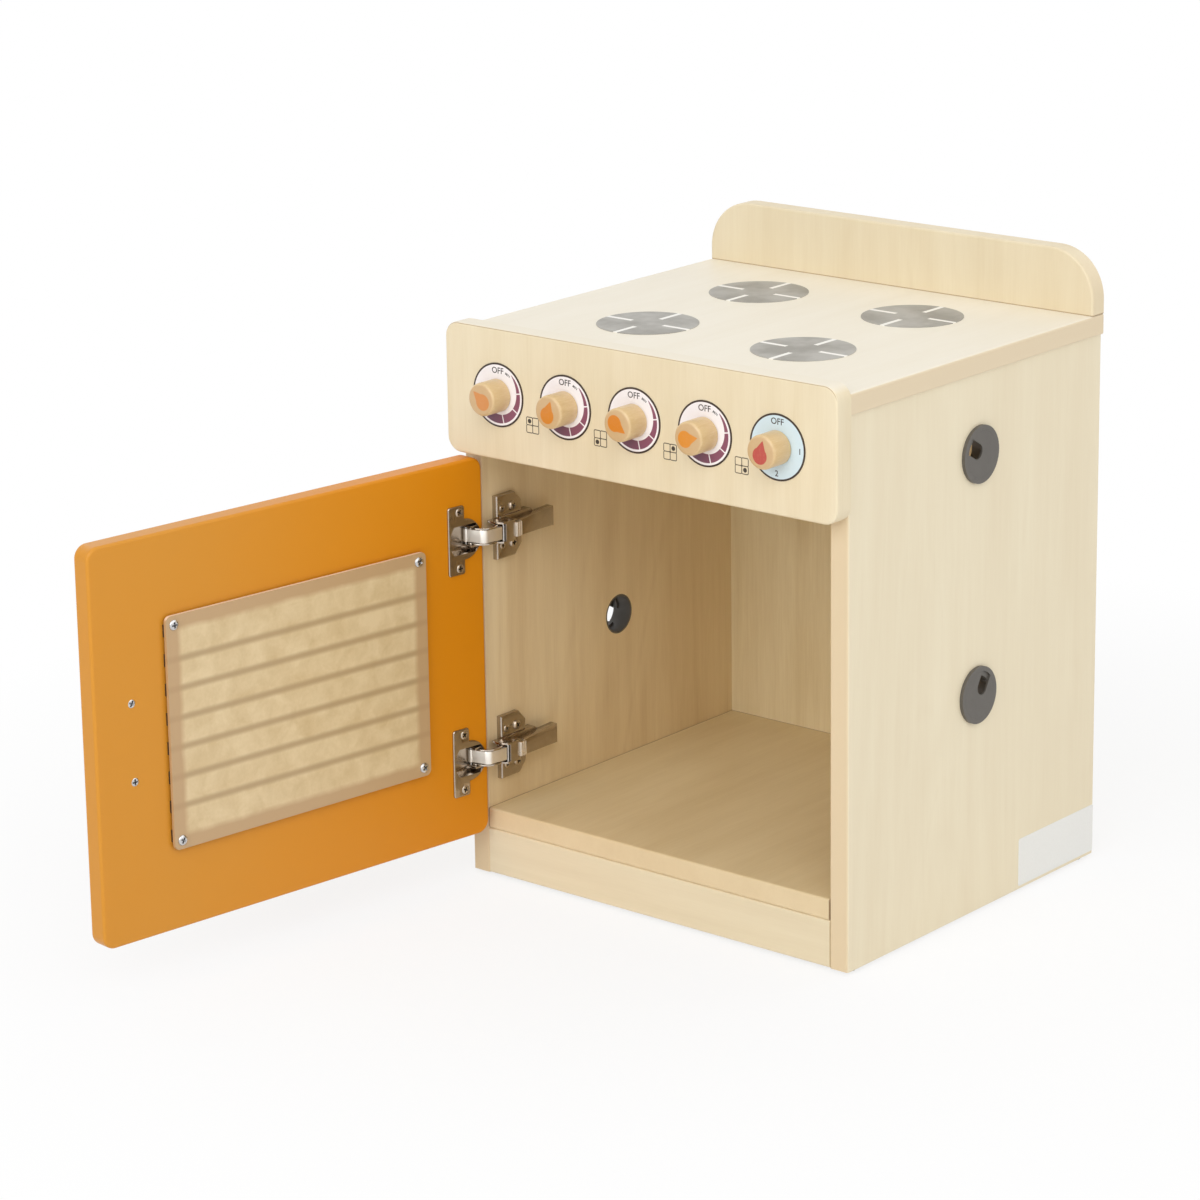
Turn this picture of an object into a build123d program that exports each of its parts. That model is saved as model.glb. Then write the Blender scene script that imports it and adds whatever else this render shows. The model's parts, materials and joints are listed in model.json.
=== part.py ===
from build123d import *
import os
from math import cos, sin, radians, degrees, hypot, atan2

# Toy oven: a small painted cabinet with five hob knobs and a door on two concealed cup hinges.
# Origin: centre of the carcass footprint on the floor. +Z up, the front of the oven faces -Y.
# The door is drawn open, at door_angle. Millimetres.

# ---- carcass boards ----
board = 18.0
carcass_width = 395.0
carcass_depth = 352.0
glide_height = 3.0
side_top_height = 458.0
kick_height = 40.0
floor_thickness = 18.0
top_width = 400.0
board_round = 2.0

# ---- control panel and backsplash ----
panel_height = 110.0
panel_lip = 8.0
panel_corner = 13.0
panel_round = 2.0
splash_height = 54.0
splash_corner = 42.0
rail_height = 18.0

# ---- knobs and dials ----
knob_count = 5
knob_pitch = 71.5
knob_below_top = 55.0
knob_diameter = 27.5
knob_length = 21.5
knob_round = 5.0
dial_diameter = 53.7
film = 0.5
bolt_diameter = 6.0
bolt_clearance = 0.06
bolt_head_flats = 10.0
bolt_head_height = 4.0
knob_thread_depth = 14.0
washer_diameter = 13.0
washer_thickness = 0.8
running_gap = 0.3

# ---- hob ----
burner_diameter = 85.0
burner_half_pitch = 80.0
burner_front_setback = 98.0
burner_rear_setback = 247.5

# ---- cable grommets, two in each side ----
grommet_bore = 35.0
grommet_flange = 48.0
grommet_flange_height = 3.0
grommet_wall = 1.5
grommet_setback = 175.5
grommet_heights = (190.0, 392.0)
cap_diameter = 40.0
cap_seat_depth = 1.8
cap_skirt_length = 5.0
cap_clearance = 0.1
cap_slot_width = 13.0
cap_slot_reach = 13.0
cap_slot_turn = {
    "left": {"lower": 120.0, "upper": 60.0},
    "right": {"lower": -30.0, "upper": 60.0},
}

# ---- glides, dowels, label ----
glide_diameter = 10.0
glide_inset = 14.0
dowel_diameter = 8.0
dowel_length = 26.0
dowel_in_board = 10.0
dowel_inset = 40.0
label_length = 112.0
label_height = 41.5
label_low = 5.5
label_setback = 239.0
label_thickness = 0.3

# ---- door ----
door_width = 398.5
door_height = 327.0
door_thickness = 18.0
door_low = 44.0
door_corner = 11.0
door_round = 2.5
door_gap = 2.0
door_angle = 97.65

# ---- window, measured along the door from its hinge edge ----
pane_width = 264.0
pane_height = 192.0
pane_thickness = 2.6
pane_corner = 5.0
pane_start = 66.4
window_width = 236.0
window_height = 164.0
window_corner = 6.0
window_start = 76.8
bar_count = 8
bar_spacing = 24.1
bar_height = 10.0
bar_thickness = 2.0
backing_thickness = 3.0
backing_lap = 5.0
backing_recess = 0.4
backing_gap = 0.3
pane_screw_inset = 7.5

# ---- handle ----
handle_from_free_edge = 36.0
handle_spacing = 64.0
handle_bar = 11.0
handle_width = 12.0
handle_reach = 28.0
handle_outer_round = 13.0

# ---- screws: shank and head diameters ----
screw_shank = 3.2
screw_head = 7.0
screw_head_height = 1.8
screw_bite = 11.0
handle_screw_shank = 4.0
handle_screw_bite = 14.0
handle_edge_round = 1.5

# ---- concealed hinges ----
hinge_heights = {"lower": 111.5, "upper": 304.0}
cup_diameter = 35.0
cup_centre = 21.0
cup_depth = 12.0
cup_wall = 0.8
cup_bore_clearance = 0.05
cup_mouth_height = 24.5
cup_mouth_corner = 5.0
flange_start = 21.3
flange_width = 17.5
flange_height = 59.0
flange_thickness = 1.7
flange_corner = 2.5
flange_bevel = 0.6
flange_sink = 1.4
sink_clearance = 0.3
cup_screw_spacing = 48.0
cup_screw_line = 6.0

# pivots: the pins in the cup are placed along and into the door, those in the arm from wall and front
outer_pin = (10.0, 4.0)
inner_pin = (11.3, 8.8)
outer_arm_pin = (11.216, 4.471)
inner_arm_pin = (16.5, 7.31)
pin_diameter = 2.0
pin_clearance = 0.05
link_turn = 40.316
inner_link_length = 32.97
inner_link_angle = -143.1
inner_link_swing = 15.43

outer_plate = 1.2
outer_half_width = 7.2
outer_rise = 9.0
outer_band = 3.2
outer_eye = 5.0
outer_sleeve = 4.2
inner_half_width = 5.6
inner_band = 2.4
inner_eye = 4.2
inner_peak = (20.0, 11.2)
inner_bend = 5.0
inner_start = 3.8
lug_thickness = 1.6
lug_gap = 0.4
lug_length = 7.6

arm_half_width = 9.0
arm_waist_half = 6.6
arm_tail_half = 8.4
arm_sheet = 1.4
arm_length = 73.0
arm_front = 1.3
arm_foot = 3.0
arm_web_start = 8.0
arm_peak = 19.3
arm_shoulder = 1.0
arm_tail = 15.0
nose_chamfer = 1.0
nose_flat = 4.0
nose_slope = 3.0
plate_thickness = 5.0
plate_front = 12.5
plate_shoulder = 35.5
plate_rear = 44.0
plate_half_height = 27.5
plate_rear_half = 18.5
plate_edge_round = 0.8
plate_screw_spacing = 32.0
plate_screw_setback = 32.0
saddle_half = 10.0
saddle_rear = 58.0
saddle_rise = 8.0
saddle_slope = 6.0
rail_half = 4.6
rail_length = 40.0
rail_rise = 13.0
clip_setback = 19.5
clip_length = 7.6
clip_recess = 3.0
clip_height = 4.6
clip_ribs = 3
clip_rib_height = 0.8
cam_setback = 19.0
cam_diameter = 6.0
cam_shank = 3.6
cam_head = 0.8
cam_reach = 4.0

# ---- places worked out from the sizes ----
front = -carcass_depth / 2
rear = carcass_depth / 2
side_x = carcass_width / 2
wall_x = side_x - board
inner_width = 2 * wall_x
back_face = rear - board
floor_low = glide_height + kick_height
top_low = side_top_height
top_high = top_low + board
panel_high = top_high + panel_lip
panel_low = panel_high - panel_height
panel_face = front - board
knob_height = panel_high - knob_below_top
knob_xs = [(i - (knob_count - 1) / 2) * knob_pitch for i in range(knob_count)]
dial_face = panel_face - film
knob_base = dial_face - running_gap
bolt_head_face = front + washer_thickness + running_gap

os.makedirs("parts", exist_ok=True)


def save(builder, name):
    builder.part.label = name
    export_step(builder.part, f"parts/{name}.step")


def facing_front(y):
    """Plane across the oven at y: local x is +X, local y is +Z, its normal is -Y."""
    return Plane.XZ.offset(-y)


# ================= carcass =================
# Dowels stand in the upper edges of the sides and run across into the floor board's ends.
dowel_radius = dowel_diameter / 2
dowel_ys = (front + dowel_inset, back_face - dowel_inset)
edge_x = side_x - board / 2
floor_middle = floor_low + floor_thickness / 2
dowel_in_side = dowel_length - dowel_in_board


def grommet_points():
    return [(front + grommet_setback, z) for z in grommet_heights]


for side, sign in (("left", -1), ("right", 1)):
    with BuildPart() as side_panel:
        with BuildSketch(Plane.YZ.offset(sign * side_x)):
            with Locations(((front + rear) / 2, (glide_height + side_top_height) / 2)):
                Rectangle(carcass_depth, side_top_height - glide_height)
            with Locations(*grommet_points()):
                Circle(grommet_bore / 2, mode=Mode.SUBTRACT)
        extrude(amount=-sign * board)
        upright = side_panel.edges().filter_by(Axis.Z).group_by(Axis.Y)
        fillet(upright[0] + upright[-1], board_round)
        for y in dowel_ys:
            with BuildSketch(Plane.XY.offset(side_top_height)):
                with Locations((sign * edge_x, y)):
                    Circle(dowel_radius)
            extrude(amount=-dowel_in_side, mode=Mode.SUBTRACT)
            with BuildSketch(Plane.YZ.offset(sign * wall_x)):
                with Locations((y, floor_middle)):
                    Circle(dowel_radius)
            extrude(amount=sign * dowel_in_board, mode=Mode.SUBTRACT)
        if side == "left":
            for z in hinge_heights.values():
                with BuildSketch(Plane.YZ.offset(-wall_x)):
                    with Locations((front + plate_screw_setback, z)):
                        with GridLocations(0, plate_screw_spacing, 1, 2):
                            Circle(screw_shank / 2)
                extrude(amount=-screw_bite, mode=Mode.SUBTRACT)
    save(side_panel, f"{side}_side_panel")

with BuildPart() as bottom_board:
    with BuildSketch(Plane.XY.offset(floor_low)):
        with Locations((0, (front + back_face) / 2)):
            Rectangle(inner_width, back_face - front)
    extrude(amount=floor_thickness)
    fillet(bottom_board.edges().filter_by(Axis.X).group_by(Axis.Y)[0], board_round)
    for sign in (-1, 1):
        with BuildSketch(Plane.YZ.offset(sign * wall_x)):
            with Locations(*[(y, floor_middle) for y in dowel_ys]):
                Circle(dowel_radius)
        extrude(amount=-sign * dowel_in_side, mode=Mode.SUBTRACT)
save(bottom_board, "bottom_board")

with BuildPart() as kickboard:
    with BuildSketch(Plane.XY.offset(glide_height)):
        with Locations((0, front + board / 2)):
            Rectangle(inner_width, board)
    extrude(amount=kick_height)
    fillet(kickboard.edges().filter_by(Axis.X).group_by(Axis.Y)[0], board_round)
save(kickboard, "kickboard")

with BuildPart() as back_panel:
    with BuildSketch(facing_front(back_face)):
        with Locations((0, (glide_height + side_top_height) / 2)):
            Rectangle(inner_width, side_top_height - glide_height)
    extrude(amount=-board)
save(back_panel, "back_panel")

with BuildPart() as front_rail:
    with BuildSketch(facing_front(front)):
        with Locations((0, top_low - rail_height / 2)):
            Rectangle(inner_width, rail_height)
    extrude(amount=-board)
save(front_rail, "front_rail")

with BuildPart() as top_board:
    with BuildSketch(Plane.XY.offset(top_low)):
        Rectangle(top_width, carcass_depth)
    extrude(amount=board)
    fillet(top_board.edges().filter_by(Axis.Y), board_round)
    fillet(top_board.edges().filter_by(Axis.X).group_by(Axis.Y)[-1], board_round)
    with BuildSketch(Plane.XY.offset(top_low)):
        with Locations(*[(sign * edge_x, y) for sign in (-1, 1) for y in dowel_ys]):
            Circle(dowel_radius)
    extrude(amount=dowel_in_board, mode=Mode.SUBTRACT)
save(top_board, "top_board")

with BuildPart() as dowels:
    with BuildSketch(Plane.XY.offset(top_low - dowel_in_side)):
        with Locations(*[(sign * edge_x, y) for sign in (-1, 1) for y in dowel_ys]):
            Circle(dowel_radius)
    extrude(amount=dowel_length)
    for sign in (-1, 1):
        with BuildSketch(Plane.YZ.offset(sign * (wall_x + dowel_in_board))):
            with Locations(*[(y, floor_middle) for y in dowel_ys]):
                Circle(dowel_radius)
        extrude(amount=-sign * dowel_length)
save(dowels, "dowels")

with BuildPart() as floor_glides:
    with BuildSketch(Plane.XY):
        with GridLocations(2 * edge_x, carcass_depth - 2 * glide_inset, 2, 2):
            Circle(glide_diameter / 2)
    extrude(amount=glide_height)
save(floor_glides, "floor_glides")

with BuildPart() as side_label:
    with BuildSketch(Plane.YZ.offset(side_x)):
        with Locations((front + label_setback + label_length / 2, label_low + label_height / 2)):
            RectangleRounded(label_length, label_height, board_round)
    extrude(amount=label_thickness)
save(side_label, "side_label")

# ================= control panel and backsplash =================
with BuildPart() as control_panel:
    with BuildSketch(facing_front(front)):
        with Locations((0, (panel_low + panel_high) / 2)):
            RectangleRounded(top_width, panel_height, panel_corner)
    extrude(amount=board)
    outline = control_panel.faces().sort_by(Axis.Y)[0].edges()
    fillet(outline, panel_round)
    with BuildSketch(facing_front(front)):
        with Locations(*[(x, knob_height) for x in knob_xs]):
            Circle(bolt_diameter / 2 + bolt_clearance)
    extrude(amount=board, mode=Mode.SUBTRACT)
save(control_panel, "control_panel")

with BuildPart() as backsplash:
    with BuildSketch(facing_front(rear)) as splash_outline:
        with Locations((0, top_high + splash_height / 2)):
            Rectangle(top_width, splash_height)
        fillet(splash_outline.vertices().group_by(Axis.Y)[-1], splash_corner)
    extrude(amount=board)
    upper_edges = backsplash.edges().filter_by(lambda edge: edge.center().Z > top_high + board_round)
    fillet(upper_edges.filter_by(Axis.Y, reverse=True), board_round)
save(backsplash, "backsplash")

# ================= knobs =================
with BuildPart() as knob_washers:
    with BuildSketch(facing_front(front)):
        with Locations(*[(x, knob_height) for x in knob_xs]):
            Circle(washer_diameter / 2)
            Circle(bolt_diameter / 2 + bolt_clearance, mode=Mode.SUBTRACT)
    extrude(amount=-washer_thickness)
save(knob_washers, "knob_washers")

for number, x in enumerate(knob_xs, start=1):
    with BuildPart() as dial_plate:
        with BuildSketch(facing_front(panel_face)):
            with Locations((x, knob_height)):
                Circle(dial_diameter / 2)
                Circle(bolt_diameter / 2 + bolt_clearance, mode=Mode.SUBTRACT)
        extrude(amount=film)
    save(dial_plate, f"dial_plate_{number}")

    with BuildPart() as knob:
        with BuildSketch(facing_front(knob_base)):
            with Locations((x, knob_height)):
                Circle(knob_diameter / 2)
        extrude(amount=knob_length)
        fillet(knob.edges().sort_by(Axis.Y)[0], knob_round)
        with BuildSketch(facing_front(knob_base)):
            with Locations((x, knob_height)):
                Circle(bolt_diameter / 2)
        extrude(amount=knob_thread_depth, mode=Mode.SUBTRACT)
    save(knob, f"knob_{number}")

    with BuildPart() as knob_bolt:
        with BuildSketch(facing_front(bolt_head_face)):
            with Locations((x, knob_height)):
                Circle(bolt_diameter / 2)
        extrude(amount=bolt_head_face - knob_base + knob_thread_depth)
        with BuildSketch(facing_front(bolt_head_face)):
            with Locations((x, knob_height)):
                RegularPolygon(bolt_head_flats / 2, 6, major_radius=False)
        extrude(amount=-bolt_head_height)
    save(knob_bolt, f"knob_bolt_{number}")

# ================= hob =================
with BuildPart() as burner_discs:
    with BuildSketch(Plane.XY.offset(top_high)):
        for setback in (burner_front_setback, burner_rear_setback):
            with Locations((-burner_half_pitch, front + setback), (burner_half_pitch, front + setback)):
                Circle(burner_diameter / 2)
    extrude(amount=film)
save(burner_discs, "burner_discs")

# ================= cable grommets =================
barrel_radius = grommet_bore / 2
barrel_hole = barrel_radius - grommet_wall
seat_radius = cap_diameter / 2 + cap_clearance
seat_floor = grommet_flange_height - cap_seat_depth
skirt_radius = barrel_hole - cap_clearance


def grommet_plane(sign, height, rise=0, turned=0):
    """Plane on the outer face of a side, its normal pointing away from the oven."""
    return Plane(origin=(sign * (side_x + rise), front + grommet_setback, height),
                 x_dir=(0, sign * cos(radians(turned)), sin(radians(turned))), z_dir=(sign, 0, 0))


with BuildPart() as grommet_liners:
    for sign in (-1, 1):
        for height in grommet_heights:
            mouth = grommet_plane(sign, height)
            with BuildSketch(mouth):
                Circle(grommet_flange / 2)
                Circle(barrel_hole, mode=Mode.SUBTRACT)
            extrude(amount=seat_floor)
            with BuildSketch(mouth.offset(seat_floor)):
                Circle(grommet_flange / 2)
                Circle(seat_radius, mode=Mode.SUBTRACT)
            extrude(amount=cap_seat_depth)
            with BuildSketch(mouth):
                Circle(barrel_radius)
                Circle(barrel_hole, mode=Mode.SUBTRACT)
            extrude(amount=-board)
save(grommet_liners, "grommet_liners")

for side, sign in (("left", -1), ("right", 1)):
    for level, height in zip(("lower", "upper"), grommet_heights):
        seat = grommet_plane(sign, height, seat_floor, cap_slot_turn[side][level])
        with BuildPart() as grommet_cap:
            with BuildSketch(seat):
                Circle(cap_diameter / 2)
            extrude(amount=cap_seat_depth)
            with BuildSketch(seat):
                Circle(skirt_radius)
                Circle(skirt_radius - grommet_wall, mode=Mode.SUBTRACT)
            extrude(amount=-cap_skirt_length)
            with BuildSketch(seat.offset(cap_seat_depth)):
                with Locations((0, cap_diameter / 2)):
                    SlotCenterToCenter(2 * cap_slot_reach, cap_slot_width, rotation=90)
            extrude(amount=-cap_seat_depth - cap_skirt_length, mode=Mode.SUBTRACT)
        save(grommet_cap, f"{side}_{level}_grommet_cap")

# ================= hinge motion =================
# Seen from above, the links turn about their pins in the arm while the door turns about the pins
# in the cup. The pins' places at door_angle follow from the closed door.
closed_face = front - door_gap
door_edge_x = -door_width / 2


def turn_about(point, centre, angle):
    dx, dy = point[0] - centre[0], point[1] - centre[1]
    c, s = cos(radians(angle)), sin(radians(angle))
    return centre[0] + c * dx - s * dy, centre[1] + s * dx + c * dy


outer_arm = (-wall_x + outer_arm_pin[0], front + outer_arm_pin[1])
outer_cup_closed = (door_edge_x + outer_pin[0], closed_face - outer_pin[1])
outer_cup = turn_about(outer_cup_closed, outer_arm, link_turn)
along_door = (cos(radians(door_angle)), -sin(radians(door_angle)))
into_door = (-sin(radians(door_angle)), -cos(radians(door_angle)))


def from_outer_pin(along, into):
    """World x and y of a point on the open door, given along it and into it."""
    a, q = along - outer_pin[0], into - outer_pin[1]
    return (outer_cup[0] + a * along_door[0] + q * into_door[0],
            outer_cup[1] + a * along_door[1] + q * into_door[1])


door_origin = from_outer_pin(0, 0)
inner_cup = from_outer_pin(*inner_pin)
outer_link_length = hypot(outer_cup[0] - outer_arm[0], outer_cup[1] - outer_arm[1])
outer_link_angle = degrees(atan2(outer_cup[1] - outer_arm[1], outer_cup[0] - outer_arm[0]))
inner_open_angle = inner_link_angle + inner_link_swing
inner_direction = (cos(radians(inner_open_angle)), sin(radians(inner_open_angle)))
inner_link_end = (inner_cup[0] - inner_link_length * inner_direction[0],
                  inner_cup[1] - inner_link_length * inner_direction[1])
print("outer arm pin", outer_arm, "outer cup pin", outer_cup, "inner cup pin", inner_cup)
print("door corner", door_origin, "outer link length", outer_link_length)


def door_plane(into):
    """Plane in the open door: local x along it from its hinge edge, y up, normal into the door."""
    return Plane(origin=(door_origin[0] + into * into_door[0], door_origin[1] + into * into_door[1], 0),
                 x_dir=(along_door[0], along_door[1], 0), z_dir=(into_door[0], into_door[1], 0))


# ================= door =================
door_middle = door_low + door_height / 2
pane_middle = pane_start + pane_width / 2
window_middle = window_start + window_width / 2
backing_depth = backing_thickness + backing_recess
backing_width = window_width + 2 * backing_lap
backing_height = window_height + 2 * backing_lap
handle_line = door_width - handle_from_free_edge
cup_screw_s = cup_centre + cup_screw_line
cup_radius = cup_diameter / 2

with BuildPart() as door_panel:
    with BuildSketch(door_plane(0)):
        with Locations((door_width / 2, door_middle)):
            RectangleRounded(door_width, door_height, door_corner)
    extrude(amount=door_thickness)
    flat_sides = door_panel.faces().sort_by(SortBy.AREA)[-2:]
    fillet(flat_sides.edges(), door_round)
    with BuildSketch(door_plane(0)):
        with Locations((window_middle, door_middle)):
            RectangleRounded(window_width, window_height, window_corner)
    extrude(amount=door_thickness, mode=Mode.SUBTRACT)
    with BuildSketch(door_plane(door_thickness)):
        with Locations((window_middle, door_middle)):
            RectangleRounded(backing_width, backing_height, window_corner)
    extrude(amount=-backing_depth, mode=Mode.SUBTRACT)
    with BuildSketch(door_plane(0)):
        for z in hinge_heights.values():
            with Locations((cup_centre, z)):
                Circle(cup_radius + cup_bore_clearance)
    extrude(amount=cup_depth + running_gap, mode=Mode.SUBTRACT)
    with BuildSketch(door_plane(0)):
        for z in hinge_heights.values():
            with Locations((cup_screw_s, z)):
                with GridLocations(0, cup_screw_spacing, 1, 2):
                    Circle(screw_shank / 2)
    extrude(amount=screw_bite, mode=Mode.SUBTRACT)
    with BuildSketch(door_plane(0)):
        with Locations((pane_middle, door_middle)):
            with GridLocations(pane_width - 2 * pane_screw_inset, pane_height - 2 * pane_screw_inset, 2, 2):
                Circle(screw_shank / 2)
    extrude(amount=screw_bite, mode=Mode.SUBTRACT)
    with BuildSketch(door_plane(0)):
        with Locations((handle_line, door_middle)):
            with GridLocations(0, handle_spacing, 1, 2):
                Circle(handle_screw_shank / 2)
    extrude(amount=door_thickness, mode=Mode.SUBTRACT)
    with BuildSketch(door_plane(0)):
        with Locations((handle_line, door_middle)):
            with GridLocations(0, handle_spacing, 1, 2):
                Circle(screw_head / 2)
    extrude(amount=screw_head_height, mode=Mode.SUBTRACT)
save(door_panel, "door_panel")

with BuildPart() as window_bars:
    with BuildSketch(door_plane(-bar_thickness)):
        with Locations((pane_middle, door_middle)):
            with GridLocations(0, bar_spacing, 1, bar_count):
                Rectangle(pane_width, bar_height)
            with GridLocations(pane_width - 2 * pane_screw_inset, pane_height - 2 * pane_screw_inset, 2, 2):
                Circle(screw_shank / 2 + running_gap, mode=Mode.SUBTRACT)
    extrude(amount=bar_thickness)
save(window_bars, "window_bars")

with BuildPart() as window_pane:
    with BuildSketch(door_plane(-bar_thickness - pane_thickness)):
        with Locations((pane_middle, door_middle)):
            RectangleRounded(pane_width, pane_height, pane_corner)
            with GridLocations(pane_width - 2 * pane_screw_inset, pane_height - 2 * pane_screw_inset, 2, 2):
                Circle(screw_shank / 2 + running_gap, mode=Mode.SUBTRACT)
    extrude(amount=pane_thickness)
save(window_pane, "window_pane")

with BuildPart() as pane_screws:
    pane_face = -bar_thickness - pane_thickness
    with BuildSketch(door_plane(pane_face)):
        with Locations((pane_middle, door_middle)):
            with GridLocations(pane_width - 2 * pane_screw_inset, pane_height - 2 * pane_screw_inset, 2, 2):
                Circle(screw_head / 2)
    extrude(amount=-screw_head_height)
    with BuildSketch(door_plane(pane_face)):
        with Locations((pane_middle, door_middle)):
            with GridLocations(pane_width - 2 * pane_screw_inset, pane_height - 2 * pane_screw_inset, 2, 2):
                Circle(screw_shank / 2)
    extrude(amount=-pane_face + screw_bite)
save(pane_screws, "pane_screws")

with BuildPart() as window_backing:
    with BuildSketch(door_plane(door_thickness - backing_recess - backing_thickness)):
        with Locations((window_middle, door_middle)):
            RectangleRounded(backing_width - 2 * backing_gap, backing_height - 2 * backing_gap, window_corner)
    extrude(amount=backing_thickness)
save(window_backing, "window_backing")

# The pull is an arch: its outline is drawn across the door and extruded along it.
handle_section = Plane(origin=door_plane(door_thickness).from_local_coords(
    (handle_line - handle_width / 2, door_middle, 0)), x_dir=(into_door[0], into_door[1], 0),
    z_dir=(-along_door[0], -along_door[1], 0))
with BuildPart() as door_handle:
    with BuildSketch(handle_section) as handle_outline:
        with Locations((handle_reach / 2, 0)):
            Rectangle(handle_reach, handle_spacing + handle_bar)
        fillet(handle_outline.vertices().group_by(Axis.X)[-1], handle_outer_round)
        with Locations(((handle_reach - handle_bar) / 2, 0)):
            Rectangle(handle_reach - handle_bar, handle_spacing - handle_bar, mode=Mode.SUBTRACT)
    extrude(amount=-handle_width)
    fillet(door_handle.faces().filter_by(handle_section).edges(), handle_edge_round)
    with BuildSketch(door_plane(door_thickness)):
        with Locations((handle_line, door_middle)):
            with GridLocations(0, handle_spacing, 1, 2):
                Circle(handle_screw_shank / 2)
    extrude(amount=handle_screw_bite, mode=Mode.SUBTRACT)
save(door_handle, "door_handle")

with BuildPart() as handle_screws:
    with BuildSketch(door_plane(0)):
        with Locations((handle_line, door_middle)):
            with GridLocations(0, handle_spacing, 1, 2):
                Circle(screw_head / 2)
    extrude(amount=screw_head_height)
    with BuildSketch(door_plane(0)):
        with Locations((handle_line, door_middle)):
            with GridLocations(0, handle_spacing, 1, 2):
                Circle(handle_screw_shank / 2)
    extrude(amount=door_thickness + handle_screw_bite)
save(handle_screws, "handle_screws")

# ================= concealed hinges =================
outer_link_x = (cos(radians(outer_link_angle)), sin(radians(outer_link_angle)), 0)
inner_link_x = (inner_direction[0], inner_direction[1], 0)
pin_radius = pin_diameter / 2
pin_hole = pin_radius + pin_clearance
cup_hole = cup_radius - cup_wall
cup_floor = cup_depth - cup_wall
into_axis = Axis((0, 0, 0), (into_door[0], into_door[1], 0))
lug_inner = outer_half_width + lug_gap
lug_outer = lug_inner + lug_thickness
arm_gap = arm_half_width - arm_sheet
sleeve_half = outer_half_width - outer_plate


def link_plane(origin, direction, z):
    return Plane(origin=(origin[0], origin[1], z), x_dir=direction, z_dir=(0, 0, 1))


def layer(z):
    """Horizontal plane at z whose local origin is where the side's inner face meets the front."""
    return Plane(origin=(-wall_x, front, z))


def wall_plane(setback, height, rise):
    """Plane above the left side's inner face, its normal pointing into the oven."""
    return Plane(origin=(-wall_x + rise, front + setback, height), x_dir=(0, 1, 0), z_dir=(1, 0, 0))


def make_cup(height):
    """Cast cup with its screw flange, and two lugs in its mouth that carry the link pins."""
    with BuildPart() as cup:
        with BuildSketch(door_plane(-flange_thickness)):
            with Locations((flange_start + flange_width / 2, height)):
                RectangleRounded(flange_width, flange_height, flange_corner)
            with Locations((cup_centre, height)):
                Circle(cup_radius)
        extrude(amount=flange_thickness)
        proud_face = cup.faces().sort_by(into_axis)[0]
        chamfer(proud_face.edges(), flange_bevel)
        with BuildSketch(door_plane(0)):
            with Locations((cup_centre, height)):
                Circle(cup_radius)
        extrude(amount=cup_depth)
        with BuildSketch(door_plane(-flange_thickness)):
            with Locations((cup_centre, height)):
                Circle(cup_hole)
                RectangleRounded(cup_diameter, cup_mouth_height, cup_mouth_corner, mode=Mode.INTERSECT)
        extrude(amount=flange_thickness + cup_floor, mode=Mode.SUBTRACT)
        with BuildSketch(door_plane(-flange_thickness)):
            with Locations((cup_screw_s, height)):
                with GridLocations(0, cup_screw_spacing, 1, 2):
                    Circle(screw_head / 2 + sink_clearance)
        extrude(amount=flange_sink, mode=Mode.SUBTRACT)
        with BuildSketch(door_plane(-flange_thickness)):
            with Locations((cup_screw_s, height)):
                with GridLocations(0, cup_screw_spacing, 1, 2):
                    Circle(screw_shank / 2)
        extrude(amount=flange_thickness, mode=Mode.SUBTRACT)
        for sign in (-1, 1):
            with BuildSketch(door_plane(0)):
                with Locations((outer_pin[0], height + sign * (lug_inner + lug_outer) / 2)):
                    Rectangle(lug_length, lug_thickness)
            extrude(amount=cup_depth - cup_wall / 2)
        for pin in (outer_pin, inner_pin):
            place = from_outer_pin(*pin)
            with BuildSketch(Plane(origin=(place[0], place[1], height - lug_outer))):
                Circle(pin_radius)
            extrude(amount=2 * lug_outer, mode=Mode.SUBTRACT)
    return cup


def make_cup_pins(height):
    """Two stub pins for the outer link, which leave its middle free, and a through pin."""
    with BuildPart() as pins:
        for sign in (-1, 1):
            with BuildSketch(Plane(origin=(*outer_cup, height + sign * sleeve_half))):
                Circle(pin_radius)
            extrude(amount=sign * (lug_outer - sleeve_half))
        with BuildSketch(Plane(origin=(*inner_cup, height - lug_outer))):
            Circle(pin_radius)
        extrude(amount=2 * lug_outer)
    return pins


def make_outer_link(height):
    """Two curved plates that pass over the door's edge, joined by a sleeve round the arm pin."""
    chord = outer_link_length
    with BuildPart() as link:
        for sign in (-1, 1):
            with BuildSketch(link_plane(outer_arm, outer_link_x, height + sign * sleeve_half)):
                with BuildLine(mode=Mode.PRIVATE):
                    arch = ThreePointArc((0, 0), (chord / 2, outer_rise), (chord, 0))
                SlotArc(arch, outer_band)
                with Locations((0, 0), (chord, 0)):
                    Circle(outer_eye / 2)
                    Circle(pin_hole, mode=Mode.SUBTRACT)
            extrude(amount=sign * outer_plate)
        with BuildSketch(link_plane(outer_arm, outer_link_x, height - sleeve_half)):
            Circle(outer_sleeve / 2)
            Circle(pin_hole, mode=Mode.SUBTRACT)
        extrude(amount=2 * sleeve_half)
    return link


def make_inner_link(height):
    """Folded link between the outer link's plates, open at its arm end."""
    slope = atan2(inner_peak[1], inner_peak[0])
    start = (inner_start * cos(slope), inner_start * sin(slope))
    with BuildPart() as link:
        with BuildSketch(link_plane(inner_link_end, inner_link_x, height - inner_half_width)):
            with BuildLine():
                spine = FilletPolyline(start, inner_peak, (inner_link_length, 0), radius=inner_bend)
            trace(spine, line_width=inner_band)
            with Locations((inner_link_length, 0)):
                Circle(inner_eye / 2)
                Circle(pin_hole, mode=Mode.SUBTRACT)
        extrude(amount=2 * inner_half_width)
    return link


clip_end = clip_setback + clip_length
arm_nose = outer_arm_pin[0]


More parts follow.
